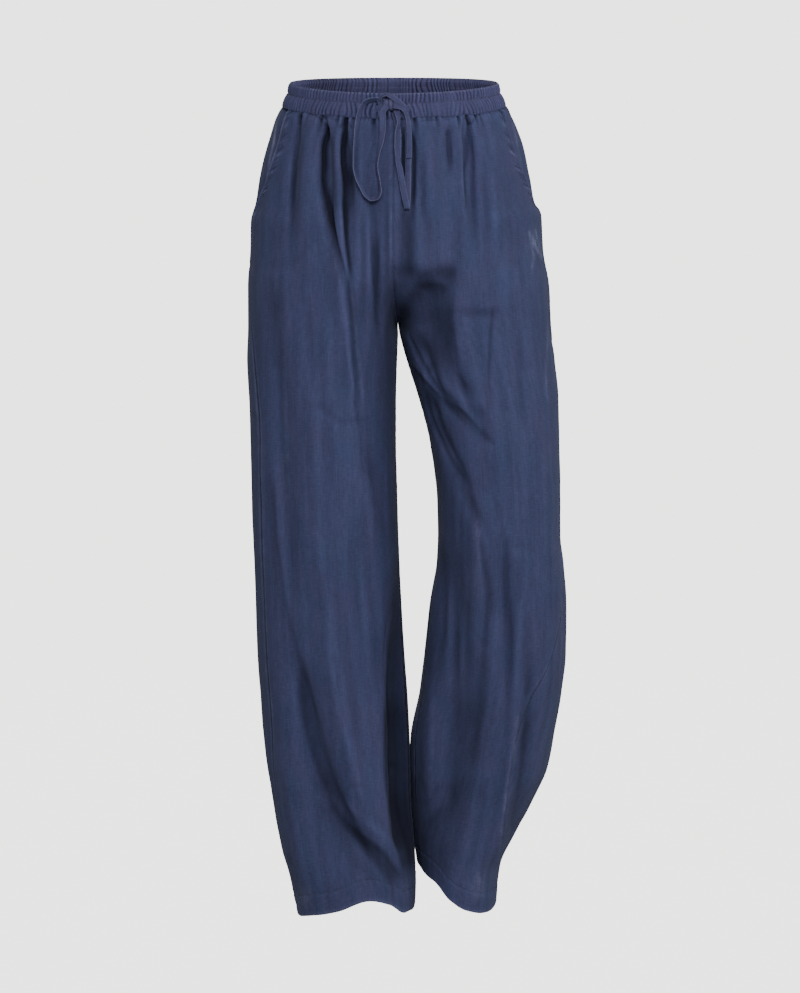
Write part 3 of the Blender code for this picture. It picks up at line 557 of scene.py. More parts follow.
@dataclass(frozen=True)
class SoftNoise:
    """Smooth random heights in space, the same in every run."""

    seed: int
    size: int = 48

    def at(self, points: Array, scale: Sequence[float]) -> Array:
        """Heights from -1 to 1 on a lattice, joined by quintic steps.

        Args:
            points: Places, the last axis as long as scale.
            scale: The lattice's spacing along each axis.

        Returns:
            One height for each place.
        """
        axes = len(scale)
        table = np.random.default_rng(self.seed).uniform(-1, 1, (self.size,) * axes)
        place = points / np.array(scale, float)
        cell = np.floor(place).astype(int)
        part = place - cell
        part = part**3 * (part * (part * 6 - 15) + 10)
        total = np.zeros(points.shape[:-1])
        for corner in np.ndindex(*(2,) * axes):
            weight = np.prod(np.where(corner, part, 1 - part), axis=-1)
            index = (cell + corner) % self.size
            total += weight * table[tuple(np.moveaxis(index, -1, 0))]
        return total


# ---- the surface of the cloth ----------------------------------------------


@dataclass(frozen=True)
class ClothForm:
    """The outer surface of both legs, as the solids have it."""

    tilt: float = 0.14
    dip: float = 3.0
    tilt_fades: tuple[float, float] = (40.0, 300.0)
    fork_drop: float = 300.0
    fork_rise: float = 100.0
    fork_shape: float = 1.6
    fork_soft: float = 0.22
    pocket_drop: float = 160.0
    fullness: float = 0.045
    full_over: tuple[float, float] = (60.0, 200.0)
    fold_face: tuple[float, float] = (0.10, 0.55)
    fold_drop: tuple[float, float] = (28.0, 75.0)
    fold_grown: float = 0.25
    fold_fading: float = 0.45
    hem_waves_from: float = 820.0
    hem_waves_grow: float = 1.5
    top_drop: float = 30.8
    low_drop: float = 1040.0

    def centre_x(self, drop: Array) -> Array:
        """Where the centre seam lies across the body."""
        return read_column(CENTRE_SEAM, "at", "value", drop)

    def merging(self, drop: Array) -> Array:
        """0 where the two legs are one round hip, 1 from the fork down.

        The start is eased by a parabola, so that no crease runs round the hip.
        """
        above = np.clip((self.fork_drop - drop) / self.fork_rise, 0.0, None)
        soft = self.fork_soft
        eased = 1 - (1 + soft - above) ** 2 / (4 * soft)
        above = np.where(above < 1 - soft, above, np.where(above > 1 + soft, 1.0, eased))
        return 1 - above**self.fork_shape

    def oval(self, side: Side, drop: Array) -> tuple[Array, Array, Array, Array]:
        """The middle and half size of a section, across and along Y.

        Args:
            side: Whose leg.
            drop: The sections' drops.

        Returns:
            Middle and half width across, middle and half depth along Y.
        """
        rows = SECTIONS[side]
        outer = read_column(rows, "drop", "outer", drop)
        inner = read_column(rows, "drop", "inner", drop)
        centre = side.value * self.centre_x(drop)
        share = self.merging(drop)
        above = (outer - centre) / (1 + share)
        joined = drop < self.fork_drop
        half = np.where(joined, above, (outer - inner) / 2)
        middle = np.where(joined, centre + share * above, (outer + inner) / 2)
        front = read_column(rows, "drop", "front", drop)
        back = read_column(rows, "drop", "back", drop)
        return middle, half, (front + back) / 2, (back - front) / 2

    def fold_height(self, face: Array, x: Array, drop: Array) -> Array:
        """The folds' height: each a bell across a curved line, faded at its ends."""
        total = np.zeros_like(x)
        for fold in FOLDS:
            height = fold_shape(fold, x, drop, fold.width, (self.fold_grown, self.fold_fading))
            total += np.where(face * fold.face.value > 0, height, 0.0)
        return total

    def point(self, side: Side, turn: Array, drop: Array) -> Array:
        """Points of one leg's tube: an oval with full corners, lifted by folds.

        Args:
            side: Whose leg.
            turn: Angles round the leg.
            drop: Distances down the cloth.

        Returns:
            Points, x, y and z along the last axis.
        """
        middle, half, middle_y, depth = self.oval(side, drop)
        angle = np.radians(turn)
        c, s = np.cos(angle), np.sin(angle)
        full = 1 + self.fullness * np.sin(2 * angle) ** 2 * ease(*self.full_over, drop)
        x = side.value * (middle + half * full * c)
        y = middle_y - depth * full * s
        normal_x, normal_y = side.value * c / half, -s / depth
        length = np.hypot(normal_x, normal_y)
        on_face = ease(*self.fold_face, np.abs(s)) * ease(*self.fold_drop, drop)
        lift = self.fold_height(np.sign(s), x, drop) * on_face
        x = x + lift * normal_x / length
        y = y + lift * normal_y / length
        tilt = 1 - ease(*self.tilt_fades, drop)
        z = -drop + tilt * (self.tilt * y - self.dip * s * s)
        return np.stack(np.broadcast_arrays(x, y, z), -1)

    def inner_turn(self, side: Side, drop: Array, face: Face) -> Array:
        """The turn of a panel's inner edge: centre seam, fork seam or inseam."""
        fork = np.degrees(np.arccos(-self.merging(drop)))
        inseam = 180 - read_column(SECTIONS[side], "drop", "inseam", drop)
        joined = drop < self.fork_drop
        if face is Face.FRONT:
            return np.where(joined, fork, inseam)
        return np.where(joined, -fork, inseam - 360)

    def outer_turn(self, side: Side, drop: Array, face: Face) -> Array:
        """The turn of a panel's outer edge: side seam, or pocket mouth in front."""
        seam = read_column(SECTIONS[side], "drop", "seam", drop)
        if face is Face.BACK:
            return seam
        mouth = read_column(POCKET_MOUTH[side], "at", "value", drop)
        return np.where(drop < self.pocket_drop, mouth, seam)

    def lowered(self, side: Side, turn: Array, drop: Array) -> Array:
        """A row's drop, bent so that the lowest row follows the hem's waves."""
        wrapped = (turn + 180) % 360 - 180
        hem = read_column(HEM[side], "at", "value", wrapped)
        span = self.low_drop - self.hem_waves_from
        share = np.clip((drop - self.hem_waves_from) / span, 0, 1)
        return drop + share**self.hem_waves_grow * (hem - self.low_drop)


CLOTH = ClothForm()
CRINKLE = SoftNoise(11)
DRAPE = SoftNoise(23)
CREASE = SoftNoise(37)
RIPPLE = SoftNoise(41)


# ---- meshes ----------------------------------------------------------------


@dataclass
class Surface:
    """A grid of points with its outward normals and cloth coordinates."""

    points: Array
    normals: Array
    uv: Array
    wear: Array
    # Painted shade of each point, which darkens its colour; below 0 it is painted light.
    painted_shade: Array
    back: Array


def hollows(height: Array, reach: tuple[int, int]) -> Array:
    """How far each point of a grid lies below the mean of those around it.

    Args:
        height: Heights on the grid.
        reach: How many steps the mean takes in each way, down and across.

    Returns:
        The mean less the height.
    """
    mean = height
    for span in reach:
        total = np.cumsum(np.pad(mean, ((span + 1, span), (0, 0)), mode="edge"), axis=0)
        width = 2 * span + 1
        mean = ((total[width:] - total[:-width]) / width).T
    return mean - height


def lowest_near(points: Array, normals: Array, reach: int) -> Array:
    """How far the lowest neighbour within some steps lies below each point."""
    rows, columns = points.shape[:2]
    padded = np.pad(points, ((reach, reach), (reach, reach), (0, 0)), mode="edge")
    lowest = np.zeros((rows, columns))
    for i, j in np.ndindex(2 * reach + 1, 2 * reach + 1):
        apart = padded[i : i + rows, j : j + columns] - points
        lowest = np.minimum(lowest, np.sum(apart * normals, axis=-1))
    return lowest


def grid_normals(points: Array, outward: Array) -> Array:
    """Unit normals of a grid: the cross product of its two directions.

    Args:
        points: The grid.
        outward: A direction for each point that the normal must agree with.

    Returns:
        Unit normals.
    """
    normal = np.cross(np.gradient(points, axis=1), np.gradient(points, axis=0))
    if np.sum(normal * outward) < 0:
        normal = -normal
    return normal / np.maximum(np.linalg.norm(normal, axis=-1, keepdims=True), 1e-9)


def lengths_along(points: Array, axis: int) -> Array:
    """The distance travelled along one direction of a grid, from its start."""
    step = np.linalg.norm(np.diff(points, axis=axis), axis=-1)
    travelled = np.cumsum(step, axis=axis)
    first = np.zeros_like(np.take(travelled, [0], axis=axis))
    return np.concatenate([first, travelled], axis=axis)


def quads_of(rows: int, columns: int, start: int = 0, closed: bool = False) -> Array:
    """The point numbers of each cell of a grid.

    Args:
        rows: How many rows of points.
        columns: How many points in a row.
        start: The number of the first point.
        closed: Whether each row is a ring.

    Returns:
        An array of four numbers a cell.
    """
    last = columns if closed else columns - 1
    i, j = np.meshgrid(np.arange(rows - 1), np.arange(last), indexing="ij")
    k = (j + 1) % columns
    corners = [i * columns + j, i * columns + k, (i + 1) * columns + k, (i + 1) * columns + j]
    return start + np.stack(corners, -1).reshape(-1, 4)


def edge_loop(rows: int, columns: int, start: int = 0) -> Array:
    """The point numbers round the edge of a grid, in order."""
    grid = start + np.arange(rows * columns).reshape(rows, columns)
    return np.concatenate(
        [grid[0, :-1], grid[:-1, -1], grid[-1, :0:-1], grid[:0:-1, 0]]
    )


def make_piece(
    name: str,
    points: Array,
    faces: Iterable[Array],
    finish: bpy.types.Material,
    uv: Array,
    marks: dict[str, Array],
) -> bpy.types.Object:
    """Makes one smooth piece from points in millimetres.

    Args:
        name: The piece's name.
        points: Its points.
        faces: Arrays of faces, each with its own count of corners.
        finish: Its material.
        uv: Cloth coordinates of the points, in metres.
        marks: Named values of the points that the material reads.

    Returns:
        The new object, riding on the one body.
    """
    mesh = bpy.data.meshes.new(name)
    blocks = [np.asarray(block, np.int64) for block in faces]
    corners = np.concatenate([block.reshape(-1) for block in blocks])
    counts = np.concatenate([np.full(len(b), b.shape[1]) for b in blocks])
    starts = np.concatenate([[0], np.cumsum(counts)[:-1]])
    mesh.vertices.add(len(points))
    mesh.vertices.foreach_set("co", (points * MM).astype(np.float32).ravel())
    mesh.loops.add(len(corners))
    mesh.loops.foreach_set("vertex_index", corners.astype(np.int32))
    mesh.polygons.add(len(counts))
    mesh.polygons.foreach_set("loop_start", starts.astype(np.int32))
    mesh.polygons.foreach_set("use_smooth", np.ones(len(counts), bool))
    mesh.update(calc_edges=True)
    layer = mesh.uv_layers.new(name="cloth")
    layer.data.foreach_set("uv", uv[corners].astype(np.float32).ravel())
    for mark, values in marks.items():
        layer = mesh.attributes.new(mark, "FLOAT", "POINT")
        layer.data.foreach_set("value", np.asarray(values, np.float32).ravel())
    mesh.validate()
    mesh.materials.append(finish)
    piece = bpy.data.objects.new(name, mesh)
    bpy.context.scene.collection.objects.link(piece)
    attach(piece, "root")
    return piece


def shell_piece(
    name: str, outer: Surface, wall: Array, finish: bpy.types.Material, sparse: int = 2
) -> bpy.types.Object:
    """A sheet with its other side and rim: the inner grid is every few points.

    It is sunk below the lowest point near it, so that no sharp fold cuts it.

    Args:
        name: The piece's name.
        outer: The side that shows.
        wall: The thickness at each point.
        finish: Its material.
        sparse: How many steps of the outer grid make one of the inner.

    Returns:
        The new object.
    """
    thin = (slice(None, None, sparse), slice(None, None, sparse))
    sunk = lowest_near(outer.points, outer.back, sparse) - wall
    inner = (outer.points + outer.back * sunk[..., None])[thin]
    rows, columns = outer.points.shape[:2]
    count = rows * columns
    cross = np.cross(np.gradient(outer.points, axis=1), np.gradient(outer.points, axis=0))
    agrees = bool(np.sum(cross * outer.normals) > 0)
    front = quads_of(rows, columns)
    back = quads_of(inner.shape[0], inner.shape[1], count)
    fine = edge_loop(rows, columns)
    coarse = edge_loop(inner.shape[0], inner.shape[1], count)
    ahead = np.roll(coarse, -1)
    steps = [fine[k::sparse] for k in range(sparse)] + [np.roll(fine[0::sparse], -1)]
    rim = [np.stack([coarse, steps[k], steps[k + 1]], 1) for k in range(sparse)]
    rim.append(np.stack([coarse, steps[-1], ahead], 1))
    rim = np.concatenate(rim)
    if agrees:
        back = back[:, ::-1]
    else:
        front, rim = front[:, ::-1], rim[:, ::-1]
    points = np.concatenate([outer.points.reshape(-1, 3), inner.reshape(-1, 3)])
    uv = np.concatenate([outer.uv.reshape(-1, 2), outer.uv[thin].reshape(-1, 2)])
    wear = np.concatenate([outer.wear.ravel(), outer.wear[thin].ravel()])
    within = len(points) - count
    # The outer side carries its painted shade and light; the inner side gets none.
    marks = {
        "wear": wear,
        "inside": np.concatenate([np.zeros(count), np.ones(within)]),
        "painted_shade": np.concatenate([outer.painted_shade.ravel(), np.zeros(within)]),
    }
    return make_piece(name, points, [front, back, rim], finish, uv, marks)


# ---- materials -------------------------------------------------------------


class Wiring:
    """Adds nodes to one tree and joins them."""

    def __init__(self, tree: bpy.types.NodeTree) -> None:
        """Starts on an empty tree."""
        self.tree = tree
        tree.nodes.clear()

    def node(self, kind: str, takes: dict | None = None, **settings: object) -> bpy.types.Node:
        """Adds a node.

        Args:
            kind: Its type.
            takes: What its sockets take, by name or number: a socket or a value.
            settings: Its other settings.

        Returns:
            The new node.
        """
        made = self.tree.nodes.new(kind)
        for name, value in settings.items():
            setattr(made, name, value)
        for key, value in (takes or {}).items():
            self.put(made.inputs[key], value)
        return made

    def put(self, socket: bpy.types.NodeSocket, value: object) -> None:
        """Joins a socket to another, or sets its own value."""
        if isinstance(value, bpy.types.NodeSocket):
            self.tree.links.new(value, socket)
        else:
            socket.default_value = value

    def math(self, operation: str, *values: object, clamp: bool = False) -> object:
        """The result of one sum on sockets or numbers."""
        takes = dict(enumerate(values))
        return self.node("ShaderNodeMath", takes, operation=operation, use_clamp=clamp).outputs[0]

    def spread(self, value: object, middle: float, times: float, clamp: bool = False) -> object:
        """How far a value is from a middle, that many times."""
        return self.math("MULTIPLY", self.math("SUBTRACT", value, middle), times, clamp=clamp)

    def mix(self, share: object, a: object, b: object) -> object:
        """A mix of two colours."""
        return self.node("ShaderNodeMix", {0: share, 6: a, 7: b}, data_type="RGBA").outputs[2]

    def product(self, a: object, b: object) -> object:
        """Two colours or vectors, multiplied part by part."""
        return self.node("ShaderNodeVectorMath", {0: a, 1: b}, operation="MULTIPLY").outputs[0]

    def noise(self, place: object, scale: float, detail: float, flat: bool = False) -> object:
        """Noise from 0 to 1, over a plane or through space."""
        takes = {"Vector": place, "Scale": scale, "Detail": detail}
        dimensions = "2D" if flat else "3D"
        return self.node("ShaderNodeTexNoise", takes, noise_dimensions=dimensions).outputs[0]

    def streaks(self, u: object, v: object, size: tuple, detail: float) -> object:
        """Noise from 0 to 1, drawn out along one thread direction."""
        takes = {0: self.math("DIVIDE", u, size[0]), 1: self.math("DIVIDE", v, size[1])}
        place = self.node("ShaderNodeCombineXYZ", takes).outputs[0]
        return self.noise(place, 1.0, detail, flat=True)

    def mark(self, name: str) -> object:
        """A named value of the mesh's points."""
        return self.node("ShaderNodeAttribute", attribute_name=name).outputs["Fac"]

    def group(self, tree: bpy.types.NodeTree, **takes: object) -> object:
        """The results of a group of nodes, from what its sockets take."""
        return self.node("ShaderNodeGroup", takes, node_tree=tree).outputs

    def finish(self, takes: dict) -> None:
        """Ends the tree with one surface, from what its sockets take."""
        shader = self.node("ShaderNodeBsdfPrincipled", takes)
        self.node("ShaderNodeOutputMaterial", {"Surface": shader.outputs[0]})


def new_material(name: str) -> tuple[bpy.types.Material, Wiring]:
    """A new material and its wiring."""
    made = bpy.data.materials.new(name)
    made.use_nodes = True
    return made, Wiring(made.node_tree)


def new_group(name: str, inputs: dict, outputs: dict) -> tuple[Wiring, dict, object]:
    """Starts a shader node group with named sockets.

    Args:
        name: The group's name.
        inputs: Socket names with their kinds.
        outputs: The same for what it puts out.

    Returns:
        Its wiring, its inputs by name, and its output node.
    """
    tree = bpy.data.node_groups.new(name, "ShaderNodeTree")
    wiring = Wiring(tree)
    for label, kind in inputs.items():
        tree.interface.new_socket(label, in_out="INPUT", socket_type=kind)
    for label, kind in outputs.items():
        tree.interface.new_socket(label, in_out="OUTPUT", socket_type=kind)
    taken = wiring.node("NodeGroupInput")
    given = wiring.node("NodeGroupOutput")
    return wiring, {label: taken.outputs[label] for label in inputs}, given


def weave_group() -> bpy.types.NodeTree:
    """Plain weave: each thread is a rounded ridge that rides over every other one.

    Over a cell of one thread each way, the warp's height is the sine across it,
    higher where the product of both sines is above 0, and the weft's is lower.
    """
    number, vector = "NodeSocketFloat", "NodeSocketVector"
    w, taken, given = new_group(
        "plain_weave",
        {"Cloth": vector, "Pitch": number},
        {"Height": number, "Warp": number},
    )
    parts = w.node("ShaderNodeSeparateXYZ", {0: taken["Cloth"]})
    wobble = w.streaks(parts.outputs[0], parts.outputs[1], (0.006, 0.006), 1.0)
    wobble = w.spread(wobble, 0.5, 0.0016)
    sines = []
    for axis in (0, 1):
        place = w.math("ADD", parts.outputs[axis], wobble)
        turns = w.math("MULTIPLY", w.math("DIVIDE", place, taken["Pitch"]), math.pi)
        sines.append(w.math("SINE", turns))
    over = w.math("MULTIPLY", w.math("MULTIPLY", sines[0], sines[1]), 1.6)
    over = w.math("ADD", over, 0.5, clamp=True)
    under = w.math("SUBTRACT", 1.0, over)
    warp = w.math("MULTIPLY", w.math("ABSOLUTE", sines[0]), over)
    weft = w.math("MULTIPLY", w.math("ABSOLUTE", sines[1]), under)
    w.put(given.inputs["Height"], w.math("MAXIMUM", warp, weft))
    w.put(given.inputs["Warp"], over)
    return w.tree


def slub_group() -> bpy.types.NodeTree:
    """Uneven yarn: threads thicker and paler in places, both ways of the cloth."""
    number, vector = "NodeSocketFloat", "NodeSocketVector"
    w, taken, given = new_group(
        "slub_yarn",
        {"Cloth": vector},
        {"Tone": number, "Height": number, "Slub": number, "Band": number},
    )
    parts = w.node("ShaderNodeSeparateXYZ", {0: taken["Cloth"]})
    u, v = parts.outputs[0], parts.outputs[1]
    warp = w.streaks(u, v, (0.0018, 0.013), 2.0)
    weft = w.streaks(u, v, (0.0075, 0.0013), 2.0)
    bands = w.streaks(u, v, (0.011, 0.13), 2.0)
    thick = w.streaks(u, v, (0.0012, 0.024), 0.0)
    across = w.streaks(u, v, (0.018, 0.0011), 0.0)
    slub = w.math("MAXIMUM", thick, w.math("MULTIPLY", across, 0.97))
    slub = w.spread(slub, 0.68, 4.5, clamp=True)
    both = w.math("ADD", w.math("MULTIPLY", warp, 0.46), w.math("MULTIPLY", weft, 0.54))
    w.put(given.inputs["Tone"], both)
    w.put(given.inputs["Band"], bands)
    w.put(given.inputs["Height"], w.math("ADD", both, w.math("MULTIPLY", slub, 0.5)))
    w.put(given.inputs["Slub"], slub)
    return w.tree


def fade_group() -> bpy.types.NodeTree:
    """Wash wear: paler along worn edges, and cloudy over a hand's breadth."""
    number, colour, vector = "NodeSocketFloat", "NodeSocketColor", "NodeSocketVector"
    w, taken, given = new_group(
        "wash_fade",
        {"Color": colour, "Worn": colour, "Wear": number, "Object": vector},
        {"Color": colour, "Cloud": number},
    )
    patchy = w.math("MULTIPLY", w.noise(taken["Object"], 420.0, 2.0), 1.5)
    share = w.math("MULTIPLY", taken["Wear"], patchy, clamp=True)
    drawn = w.product(taken["Object"], (44.0, 44.0, 17.0))
    violet = w.spread(w.noise(drawn, 1.0, 3.0), 0.34, 3.0, clamp=True)
    tint = w.mix(violet, (0.95, 1.0, 1.0, 1), (1.09, 0.99, 1.0, 1))
    dyed = w.mix(share, taken["Color"], taken["Worn"])
    w.put(given.inputs["Color"], w.product(dyed, tint))
    w.put(given.inputs["Cloud"], w.noise(taken["Object"], 22.0, 3.0))
    return w.tree


@dataclass(frozen=True)
class LinenFinish:
    """Washed slub linen: its yarns' colours and how strongly they show."""

    name: str
    warp: tuple[float, float, float]
    weft: tuple[float, float, float]
    worn: tuple[float, float, float] = (0.112, 0.116, 0.205)
    inside_tint: tuple[float, float, float] = (0.80, 0.82, 0.84)
    pitch: float = 0.00078
    tone: float = 0.74
    band: float = 0.42
    # How strongly the painted shade darkens the colour, for each unit of its mark.
    painted_shade: float = 0.17
    weave_depth: float = 0.00008
    slub_depth: float = 0.00011
    roughness: float = 0.9
    sheen: float = 0.03
    sheen_tint: tuple[float, float, float] = (0.62, 0.68, 0.86)

    def build(self, groups: dict[str, bpy.types.NodeTree]) -> bpy.types.Material:
        """The material, from the shared weave, slub and fade groups.

        Args:
            groups: The three groups by name.

        Returns:
            The new material.
        """
        made, w = new_material(self.name)
        cloth = w.node("ShaderNodeUVMap", uv_map="cloth").outputs[0]
        weave = w.group(groups["weave"], Cloth=cloth, Pitch=self.pitch)
        slub = w.group(groups["slub"], Cloth=cloth)
        fade = w.group(
            groups["fade"],
            Color=w.mix(weave["Warp"], (*self.weft, 1), (*self.warp, 1)),
            Worn=(*self.worn, 1),
            Wear=w.mark("wear"),
            Object=w.node("ShaderNodeTexCoord").outputs["Object"],
        )
        side = w.mix(w.mark("inside"), (1, 1, 1, 1), (*self.inside_tint, 1))
        light = self.light(w, weave["Height"], slub, fade["Cloud"])
        takes = {0: w.product(fade["Color"], side), "Scale": light}
        colour = w.node("ShaderNodeVectorMath", takes, operation="SCALE").outputs[0]
        woven = w.math("MULTIPLY", weave["Height"], self.weave_depth)
        height = w.math("ADD", woven, w.math("MULTIPLY", slub["Height"], self.slub_depth))
        relief = w.node("ShaderNodeBump", {"Strength": 0.8, "Distance": 1.0, "Height": height})
        w.finish(
            {
                "Base Color": colour,
                "Normal": relief.outputs[0],
                "Roughness": self.roughness,
                "Specular IOR Level": 0.12,
                "Sheen Weight": self.sheen,
                "Sheen Roughness": 0.45,
                "Sheen Tint": (*self.sheen_tint, 1),
            }
        )
        return made

    def light(self, w: Wiring, height: object, slub: object, cloud: object) -> object:
        """How pale the cloth is: uneven yarn and wash over the weave, with painted shade in the hollows and
        painted light on the ridges.

        Args:
            w: The material's wiring.
            height: The weave's height.
            slub: The uneven yarn's results.
            cloud: The wash's clouds.

        Returns:
            A factor for the colour.
        """
        light = w.math("ADD", w.spread(slub["Tone"], 0.5, self.tone), w.spread(cloud, 0.5, 0.16))
        light = w.math("ADD", w.math("ADD", light, 1.0), w.spread(slub["Band"], 0.5, self.band))
        light = w.math("ADD", light, w.math("MULTIPLY", slub["Slub"], 0.16))
        # Painted shade: the weave's low places between the threads are drawn darker.
        gaps = w.math("ADD", w.math("MULTIPLY", height, 0.14), 0.91)
        # Painted shade from the mesh's mark, clamped; where the mark is below 0 it is painted light.
        deep = w.math("ADD", w.math("MULTIPLY", w.mark("painted_shade"), -self.painted_shade), 1.0)
        deep = w.math("MINIMUM", w.math("MAXIMUM", deep, 0.22), 1.4)
        return w.math("MULTIPLY", w.math("MULTIPLY", light, gaps), deep)


@dataclass(frozen=True)
class PaleStage:
    """The pale ground and backdrop, lit a little from within."""

    base: tuple[float, float, float] = (0.05, 0.05, 0.05)
    glow: tuple[float, float, float] = (0.790, 0.798, 0.776)
    glow_strength: float = 3.75

    def build(self) -> bpy.types.Material:
        """The material."""
        made, w = new_material("pale_ground")
        grain = w.noise(w.node("ShaderNodeTexCoord").outputs["Object"], 3.0, 2.0)
        soft = tuple(0.98 * value for value in self.base)
        w.finish(
            {
                "Base Color": w.mix(grain, (*self.base, 1), (*soft, 1)),
                "Roughness": 0.95,
                "Specular IOR Level": 0.1,
                "Emission Color": (*self.glow, 1),
                "Emission Strength": self.glow_strength,
            }
        )
        return made


@dataclass
class Finishes:
    """Every material of the trousers."""

    linen: bpy.types.Material
    band: bpy.types.Material
    inner: bpy.types.Material
    tie: bpy.types.Material
    thread: bpy.types.Material

    @classmethod
    def build(cls) -> Finishes:
        """Makes the shared groups once and the materials from them."""
        groups = {"weave": weave_group(), "slub": slub_group(), "fade": fade_group()}
        warp, weft = (0.0338, 0.0392, 0.0890), (0.0276, 0.0330, 0.0775)
        tie_warp, tie_weft = (0.0405, 0.0435, 0.0985), (0.0340, 0.0376, 0.0865)
        band_warp, band_weft = (0.0392, 0.0410, 0.0950), (0.0325, 0.0350, 0.0830)
        # Painted light: the band's inside is drawn paler than its outside, as if lit.
        painted_light_inside = (1.14, 1.08, 1.06)
        plain = (1.0, 1.0, 1.0)
        return cls(
            LinenFinish("washed_linen", warp, weft).build(groups),
            LinenFinish("band_linen", band_warp, band_weft, inside_tint=painted_light_inside).build(groups),
            LinenFinish("washed_linen_inside", warp, weft, inside_tint=plain).build(groups),
            LinenFinish("tie_linen", tie_warp, tie_weft, pitch=0.0007).build(groups),
            LinenFinish(
                "sewing_thread",
                (0.041, 0.050, 0.108),
                (0.034, 0.043, 0.094),
                pitch=0.0005,
                roughness=0.6,
            ).build(groups),
        )


# ---- the leg panels --------------------------------------------------------


@dataclass(frozen=True)
class Relief:
    """The small folds of the cloth, and what sewing does to it."""

    drape: float = 0.8
    crinkle: float = 0.38
    crease: float = 0.7
    seam_groove: float = 0.9
    seam_width: float = 1.3
    seam_ripple: float = 0.30
    hem_line: float = 27.0
    hem_groove: float = 0.55
    hem_plump: float = 0.45
    trough_core: float = 0.32
    ridge_core: float = 0.14
    broad: float = 21.0
    puckers: int = 118
    pucker_height: float = 1.7
    puff: float = 1.7
    tucks: list[Tuck] = field(default_factory=list)

    def cloth(self, points: Array) -> Array:
        """Soft drape, crinkles and thin creases, from noise in space.

        A crease is where another noise passes through 0: its height falls
        off with the square of that noise.
        """
        total = self.drape * DRAPE.at(points, (26, 26, 170))
        total = total + self.crinkle * CRINKLE.at(points, (11, 11, 60))
        total = total + 0.4 * self.crinkle * CRINKLE.at(points + 500, (24, 24, 20))
        line = CREASE.at(points, (46, 46, 90))
        strong = ease(0.05, 0.6, CREASE.at(points + 900, (60, 60, 120)))
        return total - self.crease * strong * np.exp(-((line / 0.10) ** 2))

    def cores(self, side: Side, points: Array, turns: Array, drop: Array) -> Array:
        """Narrow cores down the middle of the solids' folds, and the finer creases.

        A trough gains a crease this way, and a ridge a soft crown, but a broad
        hollow stays smooth. They waver a little, and fade towards the sides.
        """
        on_face = face_shares(turns)
        x = points[..., 0] + 3.0 * DRAPE.at(points + 300, (40, 40, 55))
        total = np.zeros(x.shape)
        for fold in FOLDS:
            shape = fold_shape(fold, x, drop, 0.36 * fold.width, (0.2, 0.5))
            core = self.trough_core if fold.depth < 0 else self.ridge_core
            core = core if fold.width < self.broad else 0.0
            total += core * shape * on_face[fold.face]
        total = total + creases_over(on_leg(CREASES, side), points, drop, on_face)
        return total + strokes_over(on_leg(STROKES, side), points, drop, on_face)

    def gathers(self, points: Array, drop: Array) -> Array:
        """Tucks below the band: narrow pinches that widen and fade going down."""
        angle = np.degrees(np.arctan2(-points[..., 1] / 106, points[..., 0] / 140))
        below = np.maximum(drop - 29.0, 0.0)
        total = np.zeros(drop.shape)
        near = below[:, 0] < 130
        angle, below = angle[near], below[near]
        noise = SoftNoise(7, ROUND_CELLS)
        place = np.stack([np.radians(angle) * ROUND_CELLS / (2 * np.pi), below / 40], -1)
        phase = self.puckers * np.radians(angle) + 5.0 * noise.at(place, (2.0, 1.0))
        size = 0.9 + 1.0 * noise.at(place + 20, (1.6, 1.5))
        ridge = np.abs(np.sin(phase / 2)) ** 0.7 - 0.66
        total[near] = self.pucker_height * ridge * size * np.exp(-below / 7)
        flat = np.ones(below.shape)
        for tuck in self.tucks:
            off = (angle - tuck.angle + 180) % 360 - 180
            off = off * 2.15 * (1 + below / 260)
            width = tuck.width * (1 + 0.035 * below)
            fade = np.exp(-((below / tuck.length) ** 1.3))
            shape = bump(off, 0.0, width) - 0.35 * bump(off, 0.0, 2.4 * width)
            total[near] -= 1.7 * tuck.depth * fade * shape
            flat *= 1 - min(1.0, 0.4 + 0.25 * tuck.depth) * bump(off, 0.0, 4.2)
        total[near] += self.puff * flat * bump(below, 6.0, 7.0)
        return total

    def seam(self, reach: Array, points: Array) -> Array:
        """A seam: a groove at the edge, and ripples that fade away from it."""
        along = RIPPLE.at(points, (400, 400, 4.5))
        ripple = self.seam_ripple * along * np.exp(-reach / 6.0)
        ridge = 0.40 * bump(reach, 4.5, 2.6)
        return ripple + ridge - self.seam_groove * bump(reach, 0.0, self.seam_width)

    def hem(self, rise: Array, across: Array, points: Array) -> Array:
        """A turned-up hem: a stitched groove, plump below it, softly roped."""
        over = 1 - ease(self.hem_line - 3, self.hem_line, rise)
        line = bump(rise, self.hem_line, 1.1)
        rope = RIPPLE.at(np.stack([across + 0.7 * rise, rise * 0 + 3], -1), (5.5, 9))
        near = np.exp(-np.abs(rise - self.hem_line) / 7) + 0.5 * over
        lift = self.hem_plump * over + 0.24 * rope * near
        return lift - self.hem_groove * line - 1.1 * bump(rise, 0.0, 1.3)


def fold_shape(
    fold: Fold | Crease,
    x: Array,
    drop: Array,
    width: float,
    ends: tuple[float, float],
    skew: float = 1.0,
) -> Array:
    """One fold's height: a bell across a parabola through its three places.

    Args:
        fold: Its row of the table.
        x: Places across.
        drop: Places down.
        width: The bell's width.
        ends: The shares of its length by which it has grown, and from which it fades.
        skew: How much wider the bell is towards +X, and narrower towards -X.

    Returns:
        Heights.
    """
    t = (drop - fold.drop_top) / (fold.drop_low - fold.drop_top)
    bend = fold.x_mid - (fold.x_top + fold.x_low) / 2
    line = fold.x_top + (fold.x_low - fold.x_top) * t + 4 * bend * t * (1 - t)
    fade = ease(0.0, ends[0], t) * ease(1.0, ends[1], t)
    wide = np.where(x > line, width * skew, width / skew)
    return fold.depth * fade * bump(x, line, wide)


